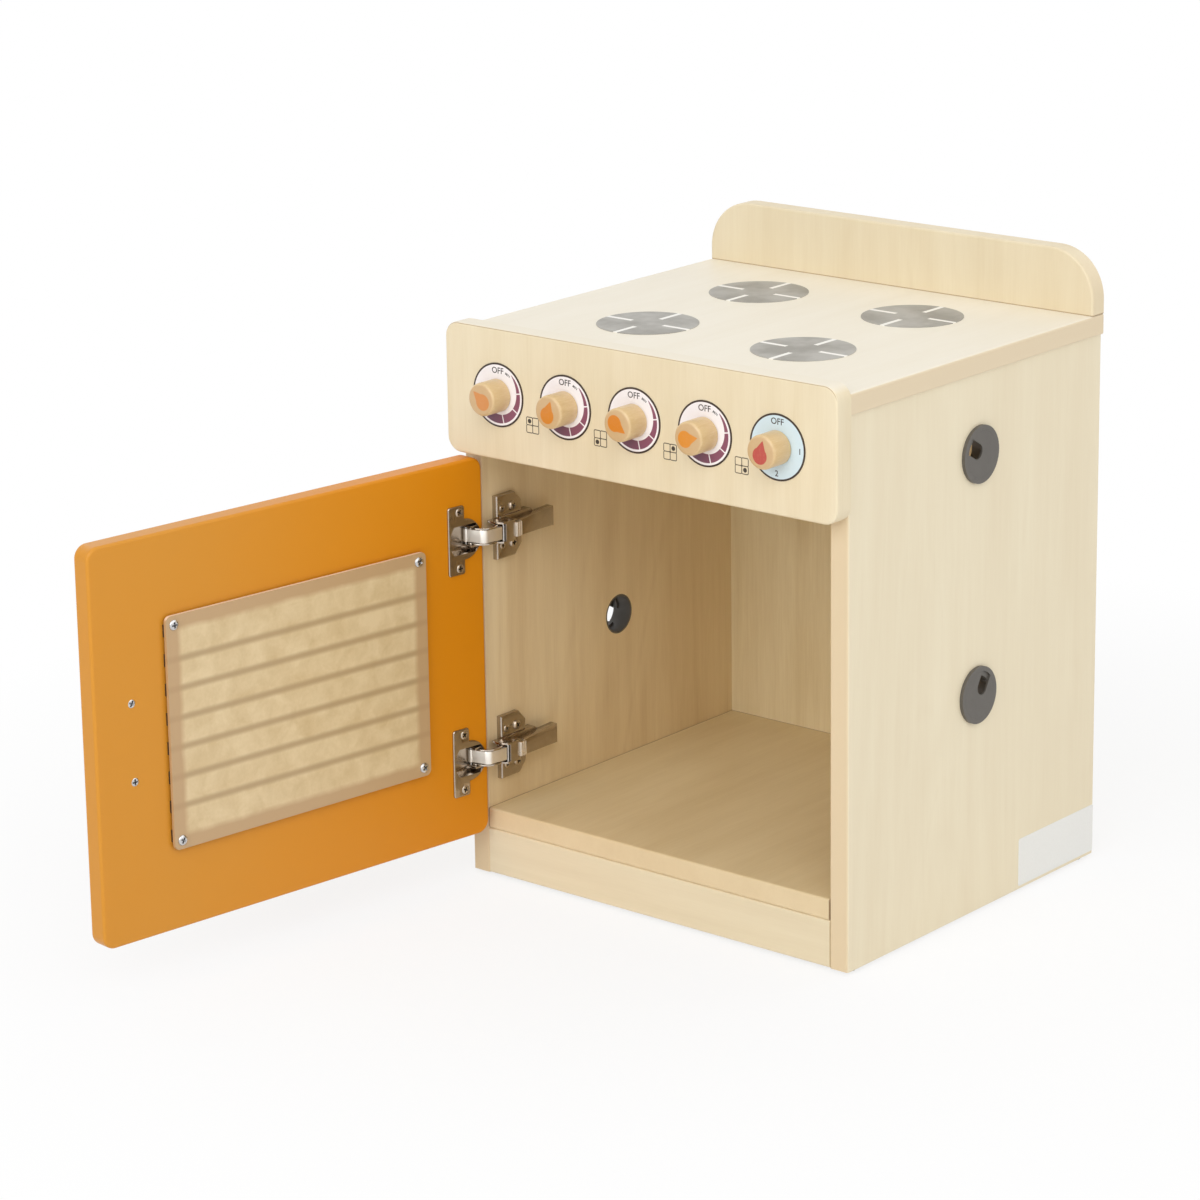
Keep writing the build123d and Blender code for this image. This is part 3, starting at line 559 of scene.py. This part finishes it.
# metal: each finish is a light and a dark colour and a roughness
metals = {
    "warmNickel": (tint(190, 179, 166), tint(166, 154, 141), 0.18),
    "brightNickel": (tint(240, 235, 224), tint(224, 216, 202), 0.3),
    # a brighter metal for eased edges: a painted highlight
    "edgeHighlightMetal": (tint(248, 240, 228), tint(228, 216, 200), 0.16),
    "satinNickel": (tint(250, 246, 238), tint(240, 234, 224), 0.5),
    "paleNickel": (tint(214, 202, 186), tint(190, 176, 158), 0.3),
    "zincPlate": (tint(220, 220, 218), tint(186, 186, 188), 0.26),
    # the two recess colours are painted shade inside the screws' cross recesses
    "paleRecessShade": (tint(150, 150, 152), tint(112, 110, 110), 0.45),
    "darkRecessShade": (tint(96, 86, 76), tint(62, 54, 48), 0.5),
}
metalGrain = {
    "smear": (126.0, 3.0, 0.6, 0.5),
    "scratches": (2520.0, 2.0, 0.6),
    "scratchStretch": 0.15,
    "roughSwing": 0.2,
    "relief": 0.04,
}


def metalPaint(name, light, dark, roughness):
    paint = Paint(name, Metallic=1.0)
    spot = paint.place()
    smear = paint.noise(spot, *metalGrain["smear"])
    drawn = paint.stretch(spot, alongGrain("y", metalGrain["scratchStretch"]))
    scratches = paint.noise(drawn, *metalGrain["scratches"])
    paint.set(Base_Color=paint.mix(smear, light, dark),
              Roughness=smear.swing(metalGrain["roughSwing"]) + roughness,
              Normal=paint.bump(scratches, metalGrain["relief"]))
    return paint


metalPaints = {name: metalPaint(name, *look) for name, look in metals.items()}

# hinges: plated parts whose eased edges are painted brighter than their faces, a painted highlight where they
# catch the light
hinges = {
    "finishes": {"hinge_cup": "warmNickel", "outer_link": "warmNickel", "hinge_arm": "warmNickel",
                 "mounting_plate": "warmNickel", "inner_link": "satinNickel", "release_clip": "brightNickel"},
    "ease": 0.28 * mm,
    "easeAngle": 32.0,
    "flatAngle": 0.6,
    "weld": 0.001 * mm,
}


def easeEdges(node, paint):
    # a copy of the node with its sharp edges rounded over
    shape = bmesh.new()
    shape.from_mesh(frame["nodes"][node].data)
    bmesh.ops.remove_doubles(shape, verts=shape.verts, dist=hinges["weld"])
    bmesh.ops.dissolve_limit(shape, angle_limit=radians(hinges["flatAngle"]), verts=shape.verts,
                             edges=shape.edges)
    sharp = [edge for edge in shape.edges
             if len(edge.link_faces) == 2 and edge.calc_face_angle() > radians(hinges["easeAngle"])]
    eased = bmesh.ops.bevel(shape, geom=sharp, offset=hinges["ease"], offset_type="OFFSET", segments=2,
                            profile=0.5, affect="EDGES", clamp_overlap=True)
    # the rounded edges take the brighter metal, a painted highlight
    for face in eased["faces"]:
        face.material_index = 1
    bmesh.ops.triangulate(shape, faces=[face for face in shape.faces if len(face.verts) > 4])
    piece = newPiece(f"{node}_eased", shape, paint, bodyOf[node], [node])
    piece.data.materials.append(metalPaints["edgeHighlightMetal"].material)


for level in ("upper", "lower"):
    for part, finish in hinges["finishes"].items():
        easeEdges(f"{level}_{part}", metalPaints[finish])
bolts = [f"knob_bolt_{number}" for number in allDials]
for node in ("hinge_cup_pins", "hinge_arm_pins", "knob_washers", *bolts):
    dress(node, metalPaints["zincPlate"])

# screws: a domed head with a cross recess on a plain shank, the recess painted in a darker metal as painted
# shade
# the dome's profile is in shares of its radius and height, and so is the cross
screws = {
    "sides": 32,
    "profile": ((1.0, 0.0), (1.0, 0.3), (0.94, 0.62), (0.8, 0.86), (0.64, 1.0)),
    "crossReach": 0.6,
    "crossHalf": 0.17,
    "crossDepth": 0.85,
    "crossTaper": 0.6,
    "shank": 1.6 * mm,
    "shankSides": 12,
    "topDepth": 0.02 * mm,
    "headsApart": 9 * mm,
    "firstTurn": 17,
    "turnStep": 31,
}
wallOutward = Vector((1, 0, 0))  # out of the left wall, into the oven
screwSets = {
    "pane_screws": {"outward": -doorInto, "radius": 4.3 * mm, "head": 1.8 * mm,
                    "finish": "zincPlate", "recess": "paleRecessShade"},
    "handle_screws": {"outward": -doorInto, "radius": 4.3 * mm, "head": 1.8 * mm,
                      "finish": "zincPlate", "recess": "paleRecessShade"},
    "hinge_cup_screws": {"outward": -doorInto, "radius": 4.0 * mm, "head": 1.8 * mm,
                         "finish": "paleNickel", "recess": "darkRecessShade"},
    "hinge_plate_screws": {"outward": wallOutward, "radius": 4.0 * mm, "head": 1.8 * mm,
                           "finish": "paleNickel", "recess": "darkRecessShade"},
    "hinge_adjusting_screws": {"outward": wallOutward, "radius": 3.0 * mm, "head": 0.8 * mm,
                               "finish": "paleNickel", "recess": "darkRecessShade"},
}


def headSpots(node, outward):
    # the middle of each screw's outer face, and how far the screws reach in from there
    points = [vertex.co for vertex in frame["nodes"][node].data.vertices]
    top = max(point.dot(outward) for point in points)
    bottom = min(point.dot(outward) for point in points)
    groups = []
    for point in points:
        if point.dot(outward) < top - screws["topDepth"]:
            continue
        for group in groups:
            if (group[0] - point).length < screws["headsApart"]:
                group.append(point)
                break
        else:
            groups.append([point])
    return [sum(group, Vector()) / len(group) for group in groups], top - bottom


def joinRings(shape, first, second, slot=0):
    # a band of faces between two rings with the same number of points
    for i in range(len(first)):
        j = (i + 1) % len(first)
        shape.faces.new((first[i], first[j], second[j], second[i])).material_index = slot


def fillBetween(shape, outer, inner):
    # flat faces between a ring and an outline inside it
    corners = outer + inner
    for triangle in tessellate_polygon([[vertex.co for vertex in loop] for loop in (outer, inner)]):
        shape.faces.new([corners[i] for i in triangle])


def addScrew(shape, tip, sizes, reach, turned):
    outward = sizes["outward"]
    radius = sizes["radius"]
    head = sizes["head"]
    side = Matrix.Rotation(turned, 3, outward) @ outward.orthogonal().normalized()
    across = outward.cross(side)

    def ring(outline, rise):
        # an outline's points at a height above the underside of the head
        return [shape.verts.new(tip + side * u + across * v + outward * (rise - head)) for u, v in outline]

    dome = [ring(roundSpots(radius * share, screws["sides"]), head * rise)
            for share, rise in screws["profile"]]
    for lower, upper in zip(dome, dome[1:]):
        joinRings(shape, lower, upper)
    a = radius * screws["crossReach"]
    b = radius * screws["crossHalf"]
    taper = screws["crossTaper"]
    plus = [(a, -b), (a, b), (b, b), (b, a), (-b, a), (-b, b),
            (-a, b), (-a, -b), (-b, -b), (-b, -a), (b, -a), (b, -b)]
    mouth = ring(plus, head)
    pit = ring([(u * taper, v * taper) for u, v in plus], head * (1 - screws["crossDepth"]))
    fillBetween(shape, dome[-1], mouth)
    # the recess walls and floor take the recess colour: painted shade
    joinRings(shape, pit, mouth, 1)
    shape.faces.new(pit).material_index = 1
    shank = roundSpots(screws["shank"], screws["shankSides"])
    neck = ring(shank, 0)
    end = ring(shank, head - reach)
    fillBetween(shape, dome[0], neck)
    joinRings(shape, end, neck)
    shape.faces.new(end)


for node, sizes in screwSets.items():
    shape = bmesh.new()
    tips, reach = headSpots(node, sizes["outward"])
    for number, tip in enumerate(tips):
        addScrew(shape, tip, sizes, reach, radians(screws["firstTurn"] + screws["turnStep"] * number))
    bmesh.ops.recalc_face_normals(shape, faces=shape.faces)
    paint = metalPaints[sizes["finish"]]
    piece = newPiece(f"{node}_crossed", shape, paint, bodyOf[node], [node])
    piece.data.materials.append(metalPaints[sizes["recess"]].material)

# plastic: each finish is a light and a dark colour and a roughness
plastics = {
    "grommetPlastic": (tint(102, 97, 90), tint(84, 80, 74), 0.42),
    "capPlastic": (tint(100, 95, 88), tint(82, 78, 72), 0.4),
    "glidePlastic": (tint(130, 120, 104), tint(104, 96, 84), 0.6),
}
mouldGrain = {
    "speckle": (1400.0, 2.0, 0.5),
    "speckleShare": 0.6,
    "patches": (70.0, 2.0, 0.5),
    "patchShare": 0.4,
    "roughSwing": 0.15,
    "relief": 0.1,
}


def mouldedPaint(name, light, dark, roughness):
    paint = Paint(name)
    spot = paint.place()
    speckle = paint.noise(spot, *mouldGrain["speckle"])
    patches = paint.noise(spot, *mouldGrain["patches"])
    amount = speckle * mouldGrain["speckleShare"] + patches * mouldGrain["patchShare"]
    paint.set(Base_Color=paint.mix(amount, light, dark),
              Roughness=patches.swing(mouldGrain["roughSwing"]) + roughness,
              Normal=paint.bump(speckle, mouldGrain["relief"]))
    return paint


plasticPaints = {name: mouldedPaint(name, *look) for name, look in plastics.items()}
dress("grommet_liners", plasticPaints["grommetPlastic"])
dress("floor_glides", plasticPaints["glidePlastic"])
for node in frame["nodes"]:
    if node.endswith("grommet_cap"):
        dress(node, plasticPaints["capPlastic"])

# the side label is plain paper
label = {
    "light": tint(241, 240, 236),
    "dark": tint(232, 231, 226),
    "fibre": (700.0, 3.0, 0.6),
    "relief": 0.05,
    "roughness": 0.55,
}
paint = Paint("plainLabel", Roughness=label["roughness"])
fibre = paint.noise(paint.place(), *label["fibre"])
paint.set(Base_Color=paint.mix(fibre, label["light"], label["dark"]),
          Normal=paint.bump(fibre, label["relief"]))
dress("side_label", paint)
print("metal, plastic and paper dressed")

# knobs: beech with a printed drop on the face
knobs = {
    "wood": tint(220, 190, 140),
    "figure": tint(204, 170, 118),
    "pale": tint(234, 211, 172),
    # the front face is painted darker than the sides: partly darker end grain, partly painted shade in place
    # of the sheen that makes the glossy sides look paler
    "shadedEndGrain": tint(204, 168, 122),
    "endGrainShadeTurn": (-0.75, -0.98),
    "endGrainShadeShare": 0.75,
    "grainStretch": 0.12,
    "seedStep": 0.37,
    "rings": (150.0, 4.0, 0.6, 0.8),
    "ringStart": 0.4,
    "ringContrast": 1.8,
    "flecks": (1500.0, 2.0, 0.5),
    "fleckContrast": 1.4,
    "relief": 0.06,
    "roughness": 0.32,
    "ringRough": 0.15,
    "edgeRound": 2.5 * mm,
    "crown": 0.25 * mm,
    "baseRound": 0.5 * mm,
    "boltHole": 3.0 * mm,
    "holeDepth": 14.0 * mm,
    "arcSteps": 7,
    "sides": 80,
    "dropRound": 6.9,
    "dropTip": 19.6,
    "dropCurve": 0.9,
    "dropStart": 9.6,
    "dropEdge": (-0.15, 0.25),
    "frontTurn": -0.8,
    "wear": (500.0, 3.0, 0.7),
    "wearShare": 0.5,
    "drops": {  # the way the tip points, in degrees from straight up, and the ink
        1: (-50.0, tint(214, 140, 70)),
        2: (17.0, tint(214, 130, 30)),
        3: (122.0, tint(216, 128, 24)),
        4: (78.0, tint(222, 140, 36)),
        5: (13.0, tint(188, 70, 58)),
    },
}


def beechPaint(name, along, seed):
    paint = Paint(name, Coat_Weight=0.45, Coat_Roughness=0.22)
    run = paint.stretch(paint.placeFrom(seed), alongGrain(along, knobs["grainStretch"]))
    rings = paint.noise(run, *knobs["rings"])
    flecks = paint.noise(run, *knobs["flecks"])
    darker = ((rings - knobs["ringStart"]) * knobs["ringContrast"]).clip()
    shade = paint.mix(darker, knobs["wood"], knobs["figure"])
    shade = paint.mix((flecks - 0.5).clip() * knobs["fleckContrast"], shade, knobs["pale"])
    paint.set(Base_Color=shade, Roughness=rings * knobs["ringRough"] + knobs["roughness"],
              Normal=paint.bump(flecks, knobs["relief"]))
    return paint


def turnedKnob(node, paint):
    # the round knob with a nearly flat face and a small rounded rim
    low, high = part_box(node)
    middle = centre(node)
    radius = (high[0] - low[0]) / 2
    length = high[1] - low[1]
    bend = knobs["edgeRound"]
    outline = [(0, knobs["holeDepth"]), (knobs["boltHole"], knobs["holeDepth"]), (knobs["boltHole"], 0),
               (radius - knobs["baseRound"], 0), (radius, knobs["baseRound"])]
    for step in range(knobs["arcSteps"] + 1):
        turn = pi / 2 * step / knobs["arcSteps"]
        outline.append((radius - bend * (1 - cos(turn)), length - knobs["crown"] - bend * (1 - sin(turn))))
    outline.append(((radius - bend) / 2, length - knobs["crown"] / 4))  # the face is slightly crowned
    outline.append((0, length))
    shape = bmesh.new()
    rings = []
    for reach, rise in outline:
        spots = roundSpots(reach, knobs["sides"] if reach else 1)
        rings.append([shape.verts.new((middle.x + u, high[1] - rise, middle.z + v)) for u, v in spots])
    for first, second in zip(rings, rings[1:]):
        for i in range(knobs["sides"]):
            j = (i + 1) % knobs["sides"]
            corners = [first[i % len(first)], first[j % len(first)],
                       second[j % len(second)], second[i % len(second)]]
            shape.faces.new(list(dict.fromkeys(corners)))
    bmesh.ops.recalc_face_normals(shape, faces=shape.faces)
    newPiece(f"{node}_turned", shape, paint, bodyOf[node], [node])


def dropMask(paint, node, turned):
    # a round end with a tapering tip, on the knob's front face only
    u, v = paint.frontSpot(node)
    rise = u * sin(radians(turned)) + v * cos(radians(turned)) + knobs["dropStart"]
    across = abs(u * cos(radians(turned)) - v * sin(radians(turned)))
    belly = rise - knobs["dropRound"]
    body = (knobs["dropRound"] ** 2 - belly * belly).higher(0.0).root()
    taper = (1 - belly / (knobs["dropTip"] - knobs["dropRound"])).clip()
    tip = taper ** knobs["dropCurve"] * knobs["dropRound"]
    swell = body.higher(tip * (belly > 0))
    return (swell - across).fade(*knobs["dropEdge"]) * (paint.facing()[1] < knobs["frontTurn"])


for number, (turned, ink) in knobs["drops"].items():
    node = f"knob_{number}"
    paint = beechPaint(f"beech{number}", "y", number * knobs["seedStep"])
    # darker face: end grain together with painted shade against the sheen on the sides
    face = paint.facing()[1].fade(*knobs["endGrainShadeTurn"]) * knobs["endGrainShadeShare"]
    shade = paint.mix(face, paint.colourSoFar(), knobs["shadedEndGrain"])
    wear = (paint.noise(paint.place(), *knobs["wear"]) - 0.5).clip() * knobs["wearShare"]
    paint.set(Base_Color=paint.mix(dropMask(paint, node, turned) * (1 - wear), shade, ink))
    turnedKnob(node, paint)
dress("door_handle", beechPaint("beechPull", "z", seed=2.9))
dress("dowels", beechPaint("beechDowel", "z", seed=4.1))
print("knobs dressed")

# dials: printed discs, with their words as thin raised ink
# a word is given with its millimetres across and up from the middle, its size and its turn in degrees
dials = {
    "radius": 26.85,
    "ringWidth": 1.5,
    "ringBlur": 0.12,
    "ring": tint(54, 38, 28),
    "white": tint(250, 245, 246),
    "blue": tint(212, 232, 240),
    "fibreShade": tint(225, 222, 218),
    "fibres": (500.0, 2.0, 0.5),
    "fibreShare": 0.12,
    "plum": tint(136, 78, 100),
    "deepPlum": tint(108, 72, 92),
    "deepens": (150, 200),
    "sweep": (38.0, 212.0),
    "outer": 23.6,
    "depth": 8.6,
    "growth": 0.6,
    "innerEdge": (-0.1, 0.2),
    "gaps": (80.0, 122.0, 166.0),
    "gapFade": (0.4, 0.6),
    "ink": tint(50, 44, 42),
    "paleInk": tint(62, 56, 54),
    "inkGrain": (900.0, 2.0, 0.5),
    "inkBolder": 0.01 * mm,
    "inkRise": 0.03 * mm,
    "letterSteps": 4,
    "relief": 0.03,
    "hobWords": (("OFF", 0.0, 20.3, 7.2, 0.0), ("MIN", 10.6, 18.0, 3.0, 28.0)),
    "ovenWords": (("OFF", 0.0, 20.3, 7.2, 0.0), ("1", 21.6, -0.6, 6.8, 0.0), ("2", -0.8, -21.2, 6.8, 0.0)),
}


def crescentMask(u, v, reach):
    # a plum crescent that widens as the dial turns up, cut by narrow gaps
    turn = u.calc("ARCTAN2", v) * (180 / pi)
    turn = turn + (turn < 0) * 360
    start, end = dials["sweep"]
    depth = turn.fade(start, end) ** dials["growth"] * dials["depth"]
    crescent = (reach < dials["outer"]) * (depth + reach - dials["outer"]).fade(*dials["innerEdge"])
    crescent = crescent * (turn > start) * (turn < end)
    for gap in dials["gaps"]:
        crescent = crescent * (abs(turn - gap) * reach * (pi / 180)).fade(*dials["gapFade"])
    return crescent, turn


def dialPaint(number):
    paint = Paint(f"dialPrint{number}", Roughness=0.4)
    u, v = paint.frontSpot(f"dial_plate_{number}")
    reach = (u * u + v * v).root()
    fibres = paint.noise(paint.place(), *dials["fibres"])
    face = dials["blue"] if number == ovenDial else dials["white"]
    shade = paint.mix(fibres * dials["fibreShare"], face, dials["fibreShade"])
    if number in hobDials:
        crescent, turn = crescentMask(u, v, reach)
        plum = paint.mix(turn.fade(*dials["deepens"]), dials["plum"], dials["deepPlum"])
        shade = paint.mix(crescent, shade, plum)
    inner = dials["radius"] - dials["ringWidth"]
    ringShare = reach.fade(inner - dials["ringBlur"], inner + dials["ringBlur"])
    shade = paint.mix(ringShare, shade, dials["ring"])
    paint.set(Base_Color=shade, Normal=paint.bump(fibres, dials["relief"]))
    return paint


inkPaint = Paint("dialInk", Roughness=0.5)
inkGrain = inkPaint.noise(inkPaint.place(), *dials["inkGrain"])
inkPaint.set(Base_Color=inkPaint.mix(inkGrain, dials["ink"], dials["paleInk"]))


def printWords(number, words):
    # generic dial words, laid on the disc as one thin piece
    node = f"dial_plate_{number}"
    middle = centre(node)
    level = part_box(node)[0][1] - dials["inkRise"] / 2
    shape = bmesh.new()
    for word, across, up, size, turned in words:
        curve = bpy.data.curves.new("word", "FONT")
        curve.body = word
        curve.size = size * mm
        curve.align_x = "CENTER"
        curve.align_y = "CENTER"
        curve.extrude = dials["inkRise"] / 2
        curve.offset = dials["inkBolder"] * size
        curve.resolution_u = dials["letterSteps"]
        holder = bpy.data.objects.new("word", curve)
        flat = bpy.data.meshes.new_from_object(holder)
        upright = Matrix.Rotation(radians(turned), 4, "Y") @ Matrix.Rotation(pi / 2, 4, "X")
        flat.transform(Matrix.Translation((middle.x + across * mm, level, middle.z + up * mm)) @ upright)
        shape.from_mesh(flat)
        bpy.data.objects.remove(holder)
        bpy.data.meshes.remove(flat)
    newPiece(f"dial_words_{number}", shape, inkPaint, bodyOf[node])


for number in allDials:
    dress(f"dial_plate_{number}", dialPaint(number))
    printWords(number, dials["ovenWords"] if number == ovenDial else dials["hobWords"])

# burners: mottled warm grey print, split by four pale strips
burners = {
    "grey": tint(180, 177, 170),
    "darker": tint(141, 137, 128),
    "pale": tint(250, 247, 240),
    "patches": (30.0, 3.0, 0.6),
    "patchFade": (0.36, 0.64),
    "patchShare": 0.75,
    "specks": (900.0, 2.0, 0.5),
    "speckShare": 0.25,
    "relief": 0.04,
    "stripFade": (2.4, 2.0),
    "stripInner": 16.5,
    "halfPitch": 80.0,
    "rows": (-78.0, 71.5),
}
paint = Paint("burnerPrint", Roughness=0.45)
x, y, z = paint.split(paint.place())
frontRow, rearRow = burners["rows"]
u = abs(x * toMm) - burners["halfPitch"]
v = abs(y * toMm - (frontRow + rearRow) / 2) - (rearRow - frontRow) / 2
reach = (u * u + v * v).root()
strips = abs(u).lower(abs(v)).fade(*burners["stripFade"]) * (reach > burners["stripInner"])
patches = paint.noise(paint.place(), *burners["patches"])
specks = paint.noise(paint.place(), *burners["specks"])
amount = patches.fade(*burners["patchFade"]) * burners["patchShare"] + specks * burners["speckShare"]
shade = paint.mix(amount, burners["grey"], burners["darker"])
paint.set(Base_Color=paint.mix(strips, shade, burners["pale"]), Normal=paint.bump(specks, burners["relief"]))
dress("burner_discs", paint)
print("dials and burners dressed")

# floor: white to the camera and in reflections, but with the oven's own soft shadow left on it
studioFloor = {
    "size": 14.0,
    "drop": 0.1 * mm,
    "nearWhite": 0.78,
    "fade": (0.42, 0.95),  # metres from the middle, over which the shadow dies out
    "pale": (0.93, 0.93, 0.93, 1.0),
    "roughness": 0.9,
}
white = (1.0, 1.0, 1.0, 1.0)


def seenDirectly(nodes):
    # 1 for rays from the camera, mirrored rays and rays through something clear
    kinds = ("Camera", "Glossy", "Transmission")
    return highest([nodes.add("ShaderNodeLightPath", {}, {}, f"Is {kind} Ray") for kind in kinds])


bpy.ops.mesh.primitive_plane_add(size=studioFloor["size"], location=(0, 0, -studioFloor["drop"]))
floor = bpy.context.object
floor.name = "studio_floor"
paint = Paint("studioFloor", Base_Color=studioFloor["pale"], Roughness=studioFloor["roughness"],
              Specular_IOR_Level=0.0)
x, y, z = paint.split(paint.place())
far = (x * x + y * y).root().fade(*studioFloor["fade"])
whiteLight = paint.add("ShaderNodeEmission", {}, {"Color": white, "Strength": 1.0})
share = (far * (1 - studioFloor["nearWhite"]) + studioFloor["nearWhite"]) * seenDirectly(paint)
ground = paint.add("ShaderNodeMixShader", {}, [share, Wire(paint, paint.surface.outputs[0]), whiteLight])
paint.join(paint.tree.nodes["Material Output"].inputs["Surface"], ground)
floor.data.materials.append(paint.material)

# world: soft even light, and white where it is seen or mirrored
airGlow = {"soft": 0.37, "seen": 1.0}
world = bpy.data.worlds.new("studioAir")
bpy.context.scene.world = world
world.use_nodes = True
air = Nodes(world.node_tree)
soft, seen = [air.add("ShaderNodeBackground", {}, [white, airGlow[key]]) for key in ("soft", "seen")]
sky = air.add("ShaderNodeMixShader", {}, [seenDirectly(air), soft, seen])
air.join(air.tree.nodes["World Output"].inputs["Surface"], sky)

# lamps: square white areas, all aimed at the oven's middle
lamps = {
    "key": {"at": (2.2, -2.4, 2.8), "size": 2.2, "watts": 38.0},
    "front": {"at": (0.3, -3.2, 2.2), "size": 2.4, "watts": 42.0},
    "low": {"at": (0.2, -3.2, 0.75), "size": 1.4, "watts": 5.5},
    "above": {"at": (0.0, 0.3, 3.0), "size": 2.6, "watts": 16.0},
    "rear": {"at": (0.9, 2.8, 1.4), "size": 2.2, "watts": 13.0},
    "left": {"at": (-2.9, 0.4, 1.4), "size": 2.2, "watts": 12.0},
    "side": {"at": (2.8, 0.2, 1.6), "size": 2.2, "watts": 16.0},
}
aim = Vector((0, -0.05, 0.25))


def hang(name, data):
    # puts a lamp or a camera into the scene
    holder = bpy.data.objects.new(name, data)
    bpy.context.scene.collection.objects.link(holder)
    return holder


for name, lamp in lamps.items():
    light = bpy.data.lights.new(name, "AREA")
    light.energy = lamp["watts"]
    light.size = lamp["size"]
    holder = hang(name, light)
    holder.location = lamp["at"]
    holder.rotation_euler = (aim - Vector(lamp["at"])).to_track_quat("-Z", "Y").to_euler()

# camera: a long lens, with its optical axis above the middle of the frame
camera = {
    "at": (2.0074, -2.6297, 1.2173),
    "yaw": 40.00,
    "down": 14.85,
    "roll": -0.82,
    "focalPixels": 4103.0,
    "framePixels": 1200.0,
    "axisRow": 480.0,
    "sensor": 36.0,
    "reach": 60.0,
}
yaw, down, roll = [radians(camera[key]) for key in ("yaw", "down", "roll")]
ahead = Vector((-sin(yaw) * cos(down), cos(yaw) * cos(down), -sin(down)))
level = Vector((cos(yaw), sin(yaw), 0))
upward = level.cross(ahead)
right = level * cos(roll) + upward * sin(roll)
top = upward * cos(roll) - level * sin(roll)
lens = bpy.data.cameras.new("studioCamera")
lens.sensor_width = camera["sensor"]
lens.lens = camera["focalPixels"] / camera["framePixels"] * camera["sensor"]
lens.shift_y = (camera["axisRow"] - camera["framePixels"] / 2) / camera["framePixels"]
lens.clip_end = camera["reach"]
eye = hang("studioCamera", lens)
eye.matrix_world = Matrix((right, top, -ahead)).transposed().to_4x4()
eye.location = camera["at"]
bpy.context.scene.camera = eye
bpy.context.scene.view_settings.view_transform = "Standard"
print("stage set")
